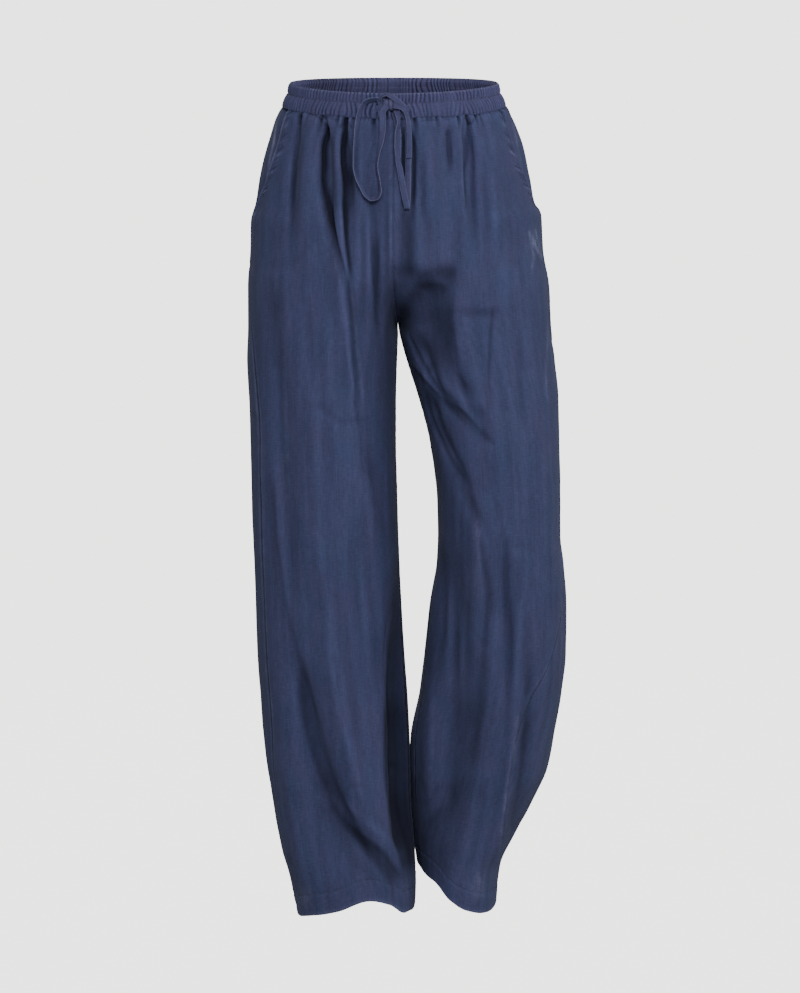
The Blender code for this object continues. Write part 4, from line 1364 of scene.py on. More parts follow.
def on_leg(rows: Sequence[Crease | Stroke], side: Side) -> list[Crease | Stroke]:
    """The rows of a table that one leg shows: its own, and those of both."""
    return [row for row in rows if row.leg in (None, side)]


def face_shares(turns: Array, first: float = 0.10, full: float = 0.45) -> dict[Face, Array]:
    """How fully each turn belongs to the front and to the back, by its sine."""
    facing = np.sin(np.radians(turns))
    return {face: ease(first, full, face.value * facing) for face in Face}


def creases_over(
    rows: Sequence[Crease], points: Array, drop: Array, on_face: dict[Face, Array]
) -> Array:
    """The summed shapes of a table of creases, a little wavering.

    Args:
        rows: The table.
        points: Places on the cloth.
        drop: Their drops.
        on_face: How fully each point belongs to the front and to the back.

    Returns:
        Heights, or shares.
    """
    x = points[..., 0] + 1.6 * CRINKLE.at(points + 60, (30, 30, 34))
    total = np.zeros(x.shape)
    for crease in rows:
        ends = crease.grown, 1 - crease.fading
        shape = fold_shape(crease, x, drop, crease.width, ends, crease.skew)
        total += shape * on_face[crease.face]
    return total


def strokes_over(
    rows: Sequence[Stroke], points: Array, drop: Array, on_face: dict[Face, Array]
) -> Array:
    """The summed shapes of a table of strokes.

    Each is a bell of the distance to a smooth line through its places, and it
    fades over a sixth of its length at both ends.

    Args:
        rows: The table.
        points: Places on the cloth.
        drop: Their drops.
        on_face: How fully each point belongs to the front and to the back.

    Returns:
        Heights, or shares.
    """
    x = points[..., 0] + 1.2 * CRINKLE.at(points + 90, (24, 24, 26))
    total = np.zeros(x.shape)
    for stroke in rows:
        knots = np.array(stroke.places, float)
        reach = 2.6 * max(stroke.left, stroke.right)
        low, high = knots.min(0) - reach, knots.max(0) + reach
        near = (x > low[0]) & (x < high[0]) & (drop > low[1]) & (drop < high[1])
        near &= on_face[stroke.face] > 0
        at, down = x[near], drop[near]
        travelled = lengths_along(knots[:, None], 0)[:, 0]
        steps = np.linspace(0, travelled[-1], 25)
        line = [smooth_curve(travelled, column, steps) for column in knots.T]
        nearest = np.full(at.shape, np.inf)
        wide, share = np.ones(at.shape), np.zeros(at.shape)
        for k in range(24):
            from_x, from_drop = line[0][k], line[1][k]
            step_x, step_drop = line[0][k + 1] - from_x, line[1][k + 1] - from_drop
            square = step_x**2 + step_drop**2
            part = ((at - from_x) * step_x + (down - from_drop) * step_drop) / square
            part = np.clip(part, 0, 1)
            off_x, off_drop = at - from_x - part * step_x, down - from_drop - part * step_drop
            apart = np.hypot(off_x, off_drop)
            on_left = step_x * off_drop - step_drop * off_x > 0
            closer = apart < nearest
            nearest = np.where(closer, apart, nearest)
            wide = np.where(closer, np.where(on_left, stroke.left, stroke.right), wide)
            share = np.where(closer, (k + part) / 24, share)
        fade = ease(0.0, 0.16, share) * ease(1.0, 0.84, share)
        held = on_face[stroke.face][near]
        total[near] += stroke.height * fade * bump(nearest, 0, wide) * held
    return total


def seam_wave(points: Array) -> Array:
    """How far the waist seam is drawn up by its gathers, round the waist."""
    angle = np.arctan2(-points[..., 1] / 106, points[..., 0] / 140)
    place = np.stack([(angle % (2 * np.pi)) * ROUND_CELLS / (2 * np.pi), 0 * angle + 5], -1)
    return 0.9 * SoftNoise(19, ROUND_CELLS).at(place, (1.0, 1.0))


def waist_angle(x: float) -> float:
    """The angle round the waist of a place x along its front."""
    return math.degrees(math.acos(x / 139.0))


def tucks_all_round() -> list[Tuck]:
    """The tucks seen in front, and others like them round the sides and back."""
    front = [
        (-113, 1.4, 30, 2.6), (-104, 1, 10, 1.8), (-88, 3, 26, 2.3), (-68, 1.7, 10, 1.8),
        (-57.6, 3.4, 38, 2.2), (-49, 1.6, 12, 1.8), (-36, 0.9, 8, 1.6), (-23.8, 2.2, 15, 2),
        (-9, 1.2, 22, 2), (8, 1.4, 20, 2), (25, 2.2, 24, 2), (52, 1.5, 12, 1.7), (78, 2, 18, 2.1),
        (89.5, 2.8, 34, 2.2), (99, 1.6, 12, 1.8), (105, 1.4, 12, 1.8), (118, 0.8, 16, 2.4),
    ]
    made = [Tuck(waist_angle(x), *rest) for x, *rest in front]
    pick = np.random.default_rng(5)
    angle = 158.0
    while angle < 382.0:
        strong = pick.random()
        length = 8 + 30 * strong**2
        made.append(Tuck(angle, 0.7 + 2.0 * strong, length, 1.6 + 0.9 * pick.random()))
        angle += 2.6 + 6.5 * pick.random()
    return made


@dataclass
class Lie:
    """Where each point of a panel lies on the plain form.

    `sewn` is 0 along an open pocket mouth, `shown` is how strongly the side
    seam shows, and `above` is 1 where the inner edge is the centre seam.
    """

    points: Array
    turns: Array
    drops: Array
    across: Array
    from_inner: Array
    down: Array
    rise: Array
    sewn: Array
    shown: Array
    above: Array


@dataclass
class LegPanel:
    """One of the four panels of the legs, from the waist seam to the hem."""

    side: Side
    face: Face
    relief: Relief
    columns: int = 168
    top_step: float = 1.3
    low_step: float = 2.8
    wall: float = 1.3
    hem_wall: float = 2.0
    seam_half_gap: float = -0.12

    @property
    def node(self) -> str:
        """The CAD node that this panel stands for."""
        return f"{self.face.label}_{self.side.label}"

    def drops(self) -> Array:
        """Row drops, close together under the band and at the hem."""
        fine = np.linspace(CLOTH.top_drop - 2.4, CLOTH.low_drop, 4000)
        step = self.top_step + (self.low_step - self.top_step) * ease(60, 140, fine)
        step -= (self.low_step - 1.7) * ease(980, 1010, fine)
        count = np.concatenate([[0.0], np.cumsum(np.diff(fine) / step[1:])])
        total = 2 * int(count[-1] / 2)
        return np.interp(np.linspace(0, count[-1], total + 1), count, fine)

    def base(self) -> tuple[Array, Array, Array]:
        """The panel's grid on the cloth form, with its turns and drops."""
        drops = self.drops()
        outer = CLOTH.outer_turn(self.side, drops, self.face)[:, None]
        inner = CLOTH.inner_turn(self.side, drops, self.face)[:, None]
        share = np.linspace(0, 1, self.columns + 1)[None, :]
        turns = outer + (inner - outer) * share
        lowered = CLOTH.lowered(self.side, turns, drops[:, None] + 0 * turns)
        points = CLOTH.point(self.side, turns, lowered)
        joined = drops <= CLOTH.fork_drop
        edges = []
        for side in Side:
            turn = np.where(joined, CLOTH.inner_turn(side, drops, self.face), 180.0)
            edges.append(CLOTH.point(side, turn, drops))
        seam = (edges[0] + edges[1]) / 2
        seam[:, 0] = CLOTH.centre_x(drops) + self.side.value * self.seam_half_gap
        move = np.where(joined[:, None], seam - points[:, -1], 0.0)
        points = points + move[:, None, :] * ease(0.55, 1.0, share)[..., None]
        return points, turns, lowered

    def lie(self) -> Lie:
        """Where the panel's points lie, before it is folded and sewn."""
        points, turns, drops = self.base()
        across, down = lengths_along(points, 1), lengths_along(points, 0)
        sewn = ease(CLOTH.pocket_drop - 4, CLOTH.pocket_drop + 4, drops)
        sewn = sewn if self.face is Face.FRONT else np.ones_like(drops)
        shown = sewn * read_column(SEAM_SHOWS[self.side], "at", "value", drops)
        above = (drops <= CLOTH.fork_drop).astype(float)
        ways = across, across[:, -1:] - across, down, down[-1:] - down
        return Lie(points, turns, drops, *ways, sewn, shown, above)

    def raised(self, lie: Lie) -> Array:
        """How far the cloth stands off the form: its folds, tucks, seams and hem."""
        points, turns, drops = lie.points, lie.turns, lie.drops
        relief = self.relief.cloth(points) * ease(30, 70, drops)
        relief = relief + self.relief.gathers(points, drops)
        relief = relief + self.relief.cores(self.side, points, turns, drops)
        relief = relief + self.ovals(DENTS[self.face], points)
        relief = relief + self.side_folds(turns, drops)
        relief = relief + self.relief.seam(lie.from_inner, points)
        relief = relief + self.relief.seam(lie.across, points) * lie.shown
        relief = relief + self.mouth(lie.across, lie.down) * (1 - lie.sewn)
        relief = relief + self.relief.hem(lie.rise, lie.across, points)
        return relief - 1.5 * (1 - ease(29.2, 31.8, drops))

    def shade(self, lie: Lie, relief: Array) -> Array:
        """How much painted shade each point gets in its colour.

        Args:
            lie: Where the points lie.
            relief: How far they stand off the form.

        Returns:
            Shares of full painted shade: from the hollows of the relief, the painted shade strokes, the
                places drawn dark under the band and the seam lines; below 0 it is painted light.
        """
        painted_shade = 0.9 * hollows(relief, (4, 4)) + 0.22 * hollows(relief, (14, 12))
        facing = face_shares(lie.turns, 0.0, 0.2)
        painted_shade = painted_shade + strokes_over(on_leg(PAINTED_SHADES, self.side), lie.points, lie.drops, facing)
        # Painted shade in small dark places just under the band seam.
        drawn = ease(0.05, 0.6, RIPPLE.at(lie.points, (6, 6, 400)))
        tall = 2.4 + 6.0 * ease(0.1, 0.9, RIPPLE.at(lie.points + 40, (7, 7, 400)))
        painted_shade = painted_shade + 2.2 * drawn * bump(lie.drops, 31.5, tall)
        # Painted shade along the seam lines.
        line = bump(lie.across, 0, 1.5) * lie.shown + bump(lie.from_inner, 0, 1.5) * (1 - lie.above)
        return painted_shade + 1.1 * line

    def worn(self, lie: Lie) -> Array:
        """How worn each point is: edges, seams, puckers, the hem and rubbed places, one of them a painted
        highlight.
        """
        drops, across = lie.drops, lie.across
        lip = 1.3 if self.side is Side.RIGHT else 0.2 + 1.3 * ease(96, 128, drops)
        edge = bump(across, 3.2, 1.8) * lie.shown + lip * bump(across, 0.4, 1.8) * (1 - lie.sewn)
        worn = (0.26 - 0.20 * lie.above) * bump(lie.from_inner, 2.5, 2.2) + 0.30 * edge
        worn = worn + 0.36 * self.puckers(across, lie.down) * (1 - lie.sewn)
        worn = worn * (0.75 + 0.6 * RIPPLE.at(lie.points, (400, 400, 9)))
        worn = worn + 0.35 * bump(lie.rise, 0, 3.0)
        worn = worn + 0.04 * bump(lie.rise, self.relief.hem_line, 2.0)
        return worn + self.scuffs(lie.points, lie.turns, drops)

    def surface(self) -> Surface:
        """The panel's outer side with every fold, seam and tuck."""
        lie = self.lie()
        middle, _, middle_y, _ = CLOTH.oval(self.side, lie.drops)
        axis = np.stack([self.side.value * middle, middle_y, lie.points[..., 2]], -1)
        normals = grid_normals(lie.points, lie.points - axis)
        relief = self.raised(lie)
        shift = normals * relief[..., None]
        shift[..., 0] *= 1 - bump(lie.from_inner, 0.0, 5.0) * lie.above
        shift[..., 2] += seam_wave(lie.points) * (1 - ease(30, 60, lie.drops))
        shaped = lie.points + shift
        down_grain = -lie.down[:, lie.down.shape[1] // 2][:, None] + 0 * lie.across
        uv = np.stack([self.grain(lie.turns), down_grain], -1) * MM
        worn, shade = np.clip(self.worn(lie), 0, 1), self.shade(lie, relief)
        return Surface(shaped, grid_normals(shaped, normals), uv, worn, shade, normals)

    def grain(self, turns: Array) -> Array:
        """How far each point lies across the cloth from a line down the leg.

        It is the length of the plain oval between them, so the threads run
        straight through the folds.
        """
        drops = self.drops()
        rows = SECTIONS[self.side]
        outer = read_column(rows, "drop", "outer", drops)
        line = (outer + read_column(rows, "drop", "inner", drops)) / 2
        middle, half, _, depth = (part[:, None] for part in CLOTH.oval(self.side, drops))
        angle = np.radians(turns)
        between = (angle[:, 1:] + angle[:, :-1]) / 2
        step = np.hypot(half * np.sin(between), depth * np.cos(between))
        across = np.cumsum(step * np.abs(np.diff(angle)), axis=1)
        across = np.concatenate([np.zeros((len(drops), 1)), across], axis=1)
        start = np.degrees(np.arccos(np.clip((line[:, None] - middle) / half, -1, 1)))[:, 0]
        reach = self.face.value * turns
        zero = [np.interp(at, row, run) for at, row, run in zip(start, reach, across)]
        return across - np.array(zero)[:, None]

    def ovals(self, rows: Sequence[tuple], points: Array) -> Array:
        """Bells over ovals on this face: place, half sizes and height a row."""
        total = np.zeros(points.shape[:2])
        for x, drop, wide, tall, height in rows:
            total += height * bump(points[..., 0], x, wide) * bump(-points[..., 2], drop, tall)
        return total

    def scuffs(self, points: Array, turns: Array, drops: Array) -> Array:
        """Pale rubbed places and lines, as shares of full wear; one line is a painted highlight."""
        total = self.ovals(SCUFFS[self.face], points)
        total = total + strokes_over(RUBS, points, drops, face_shares(turns, -0.1, 0.02))
        return total * (0.65 + 0.6 * CRINKLE.at(points, (4, 4, 9)))

    def mouth(self, reach: Array, down: Array) -> Array:
        """A pocket mouth: a rounded, doubled edge with two rows of stitching."""
        lines = 0.5 * bump(reach, 2.0, 0.9) + bump(reach, 8.0, 1.1)
        edge = 0.9 * bump(reach, 0.0, 1.8) - 0.5 * bump(reach, 4.6, 2.0)
        return edge - 0.55 * lines + 1.6 * self.puckers(reach, down)

    def puckers(self, reach: Array, down: Array) -> Array:
        """The short slanting ridges that the mouth's stitching draws up."""
        place = np.stack([down + 0.6 * reach, 0 * reach + 9], -1)
        return RIPPLE.at(place, (2.6, 9)) * bump(reach, 8.5, 5.5)

    def side_folds(self, turns: Array, drops: Array) -> Array:
        """Folds near the side seam: bells across a line of turns."""
        total = np.zeros(turns.shape)
        for fold in SIDE_FOLDS:
            if fold.side is not self.side:
                continue
            t = (drops - fold.drop_top) / (fold.drop_low - fold.drop_top)
            line = fold.turn_top + (fold.turn_low - fold.turn_top) * t
            fade = ease(0, 0.3, t) * ease(1, 0.6, t)
            total += fold.depth * fade * bump(turns, line, fold.width)
        return total

    def build(self, finishes: Finishes) -> tuple[bpy.types.Object, Surface]:
        """The panel as a thin shell that stands for its node."""
        surface = self.surface()
        rise = lengths_along(surface.points, 0)
        rise = rise[-1:] - rise
        turned = 1 - ease(26, 29, rise)
        wall = self.wall + (self.hem_wall - self.wall) * turned
        piece = shell_piece("linen_" + self.node, surface, wall, finishes.linen)
        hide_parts(self.node)
        return piece, surface


# ---- the waistband ---------------------------------------------------------


@dataclass
class Waistband:
    """The gathered band: an elastic channel over a drawstring channel."""

    rows: tuple[BandRow, ...] = (
        BandRow(0.0, 129.5, 99.5),
        BandRow(10.5, 131.5, 100.5),
        BandRow(20.0, 135.3, 103.5),
        BandRow(30.0, 138.8, 104.8),
    )
    columns: int = 1440
    line: float = 12.2
    depth: float = 30.2
    wall: float = 2.6
    plump: float = 2.8
    upper_gathers: int = 158
    lower_gathers: int = 134
    lap: float = 0.2

    def ring(self, angles: Array, v: Array, lift: Array) -> Array:
        """Points of the band: ovals that lean forward, lifted by the gathers."""
        half_width = read_column(self.rows, "drop", "half_width", v) + lift
        half_depth = read_column(self.rows, "drop", "half_depth", v) + lift
        x = half_width * np.cos(angles)
        y = -half_depth * np.sin(angles)
        z = CLOTH.tilt * y - CLOTH.dip * np.sin(angles) ** 2 - v
        z = z + seam_wave(np.stack([x, y], -1)) * ease(18, 29, v)
        return np.stack([x, y, z], -1)

    def channel(self, angles: Array, v: Array, count: int, seed: int) -> Array:
        """Gathers of one channel: rounded ridges with sharp valleys between.

        The height is a root of the sine of half a wandering phase, less its
        mean, and its size wanders too.
        """
        noise = SoftNoise(seed, ROUND_CELLS)
        place = np.stack([angles * ROUND_CELLS / (2 * np.pi), v / 14], -1)
        wander = 5.0 * noise.at(place * [1.0, 0.35], (2.0, 1.0))
        wander = wander + 1.8 * noise.at(place * [2.0, 1.3], (1.0, 1.0))
        phase = count * angles + wander
        ridge = np.abs(np.sin(phase / 2)) ** 0.6 - 0.72
        size = 0.85 + 0.65 * noise.at(place + 20, (1.6, 1.5))
        return ridge * np.clip(size, 0.25, 1.5)

    def smooth_places(self, angles: Array) -> Array:
        """Less gathered lengths of the band, as shares of the usual height."""
        degrees = np.degrees(angles) % 360
        left = bump(degrees, 66, 12) + 0.8 * bump(degrees, 38, 7)
        right = 0.45 * bump(degrees, 150, 10) + 0.3 * bump(degrees, 230, 14)
        return 1 - 0.62 * np.clip(left + right + 0.4 * bump(degrees, 300, 12), 0, 1)

    def outer_lift(self, angles: Array, v: Array) -> Array:
        """The outside's height: two plump channels pinched at their seams."""
        upper = 0.9 * np.sin(np.pi * np.clip(v / self.line, 0, 1)) ** 0.6
        span = self.depth - self.line
        lower = 1.5 * np.sin(np.pi * np.clip((v - self.line) / span, 0, 1)) ** 0.7
        body = np.where(v < self.line, upper, lower) - 0.5
        share = ease(self.line - 1.4, self.line + 1.4, v)
        first = 2.3 * self.channel(angles, v, self.upper_gathers, 3)
        second = 3.0 * self.channel(angles, v, self.lower_gathers, 7)
        second = second * self.smooth_places(angles)
        gathers = first * (1 - share) + second * share
        pinch = 0.45 * bump(v, self.line, 1.0) + 0.5 * bump(v, self.depth, 2.2)
        return body + gathers * (1 - pinch) - 0.55 * bump(v, self.line, 0.8)

    def inner_lift(self, angles: Array, v: Array) -> Array:
        """The inside's height: finer gathers, flat at the middle of the back."""
        plump = 0.7 * np.abs(np.sin(np.pi * v / self.line)) ** 0.7
        gathers = 2.0 * self.channel(angles, v, self.upper_gathers - 6, 13)
        degrees = np.degrees(angles) % 360
        flat = ease(258.5, 260.5, degrees) * ease(275.0, 273.0, degrees)
        seams = bump(degrees, 260, 0.5) + bump(degrees, 273.4, 0.5)
        seams = seams + 1.2 * bump(degrees, 266.3, 0.45)
        return plump - 0.4 + gathers * (1 - 0.8 * flat) - 0.6 * seams

    def profile(self) -> tuple[Array, Array, Array]:
        """Round the wall: drops, which side, and how far the edges are rounded."""
        down = np.concatenate(
            [np.linspace(0, 2.4, 5), np.arange(3.4, 28.0, 1.0), np.linspace(28.3, 30.2, 4)]
        )
        drops = np.concatenate([down, down[::-1]])
        inside = np.concatenate([np.zeros(len(down)), np.ones(len(down))])
        rounded = 1.15 * (1 - ease(0, 2.2, drops)) + 1.15 * ease(28.6, 30.2, drops)
        return drops, inside, rounded

    def surface(self, first: float, last: float, columns: int) -> tuple[Array, ...]:
        """One length of the band as a grid that closes round its wall."""
        angles = np.radians(np.linspace(first, last, columns + 1))[:, None]
        drops, inside, rounded = (row[None, :] for row in self.profile())
        v = drops + 0 * angles
        turn = angles + 0 * v
        outside = self.outer_lift(turn, v) - rounded
        plump = self.plump * ease(0, 5, v) * ease(30.2, 24, v)
        within = -self.wall - plump - self.inner_lift(turn, v) * 0.8 + rounded
        lift = np.where(inside > 0, within, outside)
        points = self.ring(turn, v, lift)
        travelled = (angles - angles[0]) * 118.0
        uv = np.stack([travelled + 0 * v, -v - 0.2 * inside], -1) * MM
        wear = 0.42 * (1 - ease(0, 2.2, v)) + 0.22 * bump(v, self.line, 0.9)
        # Painted shade in the valleys of the gathers and painted light on their ridges.
        painted_shade = hollows(lift, (5, 1)) * np.where(inside > 0, -2.6, 1.5)
        # Painted shade along the line between the two channels.
        painted_shade = painted_shade + 0.7 * bump(v, self.line, 0.9) * (1 - inside)
        degrees = np.degrees(angles) % 360
        # Painted shade on the inside towards the sides, where the inner band lies in shadow.
        painted_shade = painted_shade + (1.8 * bump(degrees, 225, 22) + 0.5 * bump(degrees, 340, 16)) * inside
        return points, uv, wear, 1.3 * painted_shade

    def build(self, finishes: Finishes) -> list[bpy.types.Object]:
        """The band's front and back lengths, which meet at the side seams."""
        made = []
        half = self.columns // 2
        for label, first in (("front", 0.0), ("back", 180.0)):
            points, uv, wear, painted_shade = self.surface(first, first + 180.0, half)
            sign = -1.0 if label == "front" else 1.0
            points[[0, -1], :, 1] -= sign * self.lap
            rows, columns = points.shape[:2]
            faces = quads_of(rows, columns, closed=True)
            caps = np.arange(rows * columns).reshape(rows, columns)
            ends = [caps[:1, ::-1], caps[-1:, :]]
            _, inside, _ = self.profile()
            marks = {"wear": wear, "inside": np.tile(inside, rows), "painted_shade": painted_shade}
            piece = make_piece(
                "linen_waistband_" + label,
                points.reshape(-1, 3),
                [faces[:, ::-1], ends[0][:, ::-1], ends[1][:, ::-1]],
                finishes.band,
                uv.reshape(-1, 2),
                marks,
            )
            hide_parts("waistband_" + label)
            made.append(piece)
        return made


# ---- the pockets -----------------------------------------------------------


@dataclass
class Pocket:
    """A slanted side pocket: the facing in its mouth and the bag behind."""

    side: Side
    sinks: float = 4.3
    overlap: float = 7.0
    wall: float = 0.9
    bag_sinks: float = 2.4

    def facing(self, finishes: Finishes) -> bpy.types.Object:
        """The facing: level with the back at the seam, sunk under the mouth."""
        drops = np.linspace(CLOTH.top_drop - 1.0, CLOTH.pocket_drop - 2, 97)
        seam = read_column(SECTIONS[self.side], "drop", "seam", drops)[:, None]
        mouth = CLOTH.outer_turn(self.side, drops, Face.FRONT)[:, None]
        shares = np.linspace(0, 2, 49)[None, :]
        turns = seam + (mouth - seam) * np.minimum(shares, 1.0)
        turns = turns + self.overlap * np.clip(shares - 1.0, 0.0, None)
        levels = drops[:, None] + 0 * turns
        points = CLOTH.point(self.side, turns, levels)
        middle, _, middle_y, _ = CLOTH.oval(self.side, levels)
        axis = np.stack([self.side.value * middle, middle_y, points[..., 2]], -1)
        normals = grid_normals(points, points - axis)
        reach = lengths_along(points, 1)
        dips = self.sinks * ease(0.0, 0.85, shares)
        low = ease(CLOTH.pocket_drop - 22, CLOTH.pocket_drop - 2, levels)
        dips = dips + (self.sinks - dips) * low
        relief = 0.5 * CRINKLE.at(points + 200, (12, 12, 30)) * ease(0, 6, reach)
        relief = relief - 0.9 * bump(reach, 0.0, 1.3) - dips
        relief = relief - 1.2 * (1 - ease(29.2, 31.8, levels))
        points = points + normals * relief[..., None]
        down = lengths_along(points, 0)
        uv = np.stack([reach, -down], -1) * MM
        ups = grid_normals(points, normals)
        # Painted shadow: a dark strip where the facing runs under the mouth's edge, with painted shade in
        # its hollows.
        shade = 4.4 * ease(0.76, 0.96, shares) + hollows(relief, (3, 3))
        worn = np.interp(levels, (45, 72, 89, 105, 134), (0.45, 0.60, 0.62, 0.72, 0.96))
        strong = 1.5 if self.side is Side.RIGHT else 0.45
        worn = strong * bump(shares, worn, 0.07) * ease(36, 60, levels)
        worn = worn * (0.75 + 0.6 * RIPPLE.at(points, (400, 400, 12)))
        surface = Surface(points, ups, uv, 0.3 * bump(reach, 0, 2) + worn, shade, normals)
        wall = np.full(reach.shape, self.wall)
        name = "linen_pocket_facing_" + self.side.label
        piece = shell_piece(name, surface, wall, finishes.linen)
        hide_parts("pocket_facing_" + self.side.label)
        return piece

    def bag(self, finishes: Finishes, front: Surface) -> bpy.types.Object:
        """The bag: the front panel's own corner, sunk behind it and a little full."""
        drops = -(front.points[:, 0, 2])
        rows = int(np.searchsorted(drops, CLOTH.pocket_drop - 3))
        rows -= (rows - 1) % 4
        points = front.points[:rows:2, 1:38:2]
        normals = front.normals[:rows:2, 1:38:2]
        full = 0.4 * CRINKLE.at(points + 700, (14, 14, 30))
        points = points - normals * (self.bag_sinks + 0.3 + full[..., None])
        uv = np.stack([lengths_along(points, 1), -lengths_along(points, 0)], -1) * MM
        bare = np.zeros(points.shape[:2])
        surface = Surface(points, normals, uv, bare, bare, normals)
        wall = np.full(points.shape[:2], self.wall)
        name = "linen_pocket_bag_" + self.side.label
        piece = shell_piece(name, surface, wall, finishes.inner)
        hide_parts("pocket_bag_" + self.side.label)
        return piece


# ---- the drawstring --------------------------------------------------------


def front_y(x: Array, z: Array) -> Array:
    """Where the front of the cloth, or of the band over it, lies along Y."""
    band = Waistband()
    low = CLOTH.tilt * band.rows[-1].half_depth + CLOTH.dip + 30.0
    drop = np.clip(-z - (low - 30.0), 0.0, 30.0)
    half_width = read_column(band.rows, "drop", "half_width", drop)
    half_depth = read_column(band.rows, "drop", "half_depth", drop)
    over = -half_depth * np.sqrt(1 - np.clip(x / half_width, -1.0, 1.0) ** 2)
    under = np.zeros_like(x)
    for side in Side:
        middle, half, _, _ = CLOTH.oval(side, -z)
        turn = np.degrees(np.arccos(np.clip((side.value * x - middle) / half, -1, 1)))
        here = (x >= CLOTH.centre_x(-z)) == (side is Side.LEFT)
        under = np.where(here, CLOTH.point(side, turn, -z)[:, 1], under)
    step = ease(low - 6.0, low + 10.0, -z)
    return over + (np.minimum(under, over) - over) * step


@dataclass
class Strand:
    """One flat length of the tie, along a route of points."""

    name: str
    route: Sequence[TiePoint]
    width: float = 7.6
    thick: float = 1.2
    samples: int = 10
    far_end: str = "knot"
    lay: str = "hanging"

    SECTION = np.array(
        [
            (1, 0), (0.975, 0.55), (0.9, 0.95), (0.76, 0.92), (0.68, 0.62), (0.6, 0.9), (0.2, 1), (-0.3, 1),
            (-0.72, 1), (-0.9, 0.95), (-0.975, 0.55), (-1, 0), (-0.975, -0.55), (-0.9, -0.95), (-0.3, -1),
            (0.2, -1), (0.6, -0.9), (0.68, -0.62), (0.76, -0.92), (0.9, -0.95), (0.975, -0.55),
        ]
    )

    def path(self) -> tuple[Array, Array]:
        """The middle line and the turn of the flat at each of its points."""
        rows = np.array(self.route, float)
        length = np.linalg.norm(np.diff(rows[:, :3], axis=0), axis=1)
        travelled = np.concatenate([[0.0], np.cumsum(length)])
        steps = np.arange(self.samples * (len(rows) - 1) + 1) / self.samples
        at = np.interp(steps, np.arange(len(rows)), travelled)
        x, z, lift, face = (smooth_curve(travelled, column, at) for column in rows.T)
        return np.stack([x, front_y(x, z) - lift, z], 1), np.radians(face)

    def directions(self, centre: Array, face: Array) -> tuple[Array, Array]:
        """Which way the flat's width and its thickness point along the path.

        Across is kept level except where the tie runs straight at the cloth,
        where the last direction is carried on.

        Args:
            centre: The middle line.
            face: The turn of the flat at each of its points.

        Returns:
            Unit directions along the width and through the thickness.
        """
        ahead = np.gradient(centre, axis=0)
        ahead /= np.linalg.norm(ahead, axis=1, keepdims=True)
        forward = np.array([0.0, -1.0, 0.0])
        across = [np.cross(ahead[0], forward)]
        for step in ahead[1:]:
            carried = across[-1] - step * (across[-1] @ step)
            level = np.cross(step, forward)
            level = level if level @ carried > 0 else -level
            across.append(level if np.linalg.norm(level) > 0.5 else carried)
        side = np.array(across)
        side /= np.linalg.norm(side, axis=1, keepdims=True)
        flat = np.cross(side, ahead)
        face = face[:, None]
        return np.cos(face) * side + np.sin(face) * flat, np.cos(face) * flat - np.sin(face) * side

    def build(self, finish: bpy.types.Material) -> bpy.types.Object:
        """The strand: a flat, edge-stitched section carried along the path."""
        centre, face = self.path()
        wide, deep = self.directions(centre, face)
        along = lengths_along(centre[:, None], 0)[:, 0]
        noise = RIPPLE.at(np.stack([along, along * 0], -1), (6.0, 1.0))
        width = self.width / 2 * (1 + 0.035 * noise)[:, None, None]
        thick = self.thick / 2 * (1 + 0.10 * noise)[:, None, None]
        section = self.SECTION[None]
        curl = 0.25 * (section[..., 0:1] ** 2) * noise[:, None, None]
        points = centre[:, None] + wide[:, None] * section[..., 0:1] * width
        points = points + deep[:, None] * (section[..., 1:2] * thick + curl)
        rows, columns = points.shape[:2]
        faces = quads_of(rows, columns, closed=True)[:, ::-1]
        grid = np.arange(rows * columns).reshape(rows, columns)
        ends = [grid[:1], grid[-1:, ::-1]]
        round_it = np.concatenate([[0.0], np.cumsum(np.abs(np.diff(self.SECTION[:, 0])))])
        u = np.tile(round_it * self.width / 2, (rows, 1))
        uv = np.stack([u, -along[:, None] + 0 * u], -1).reshape(-1, 2) * MM
        edge = np.tile(0.62 * bump(np.abs(self.SECTION[:, 0]), 1.0, 0.12), rows)
        # Painted shade in the groove beside the stitched edge.
        groove = np.tile(1.6 * bump(self.SECTION[:, 0], 0.68, 0.06), rows)
        marks = {"wear": edge, "inside": np.zeros(rows * columns), "painted_shade": groove}
        solid = points.reshape(-1, 3)
        piece = make_piece(self.name, solid, [faces, *ends], finish, uv, marks)
        return piece

    def declare(self) -> None:
        """Reads the strand's path and does nothing more with it."""
        line, _ = self.path()


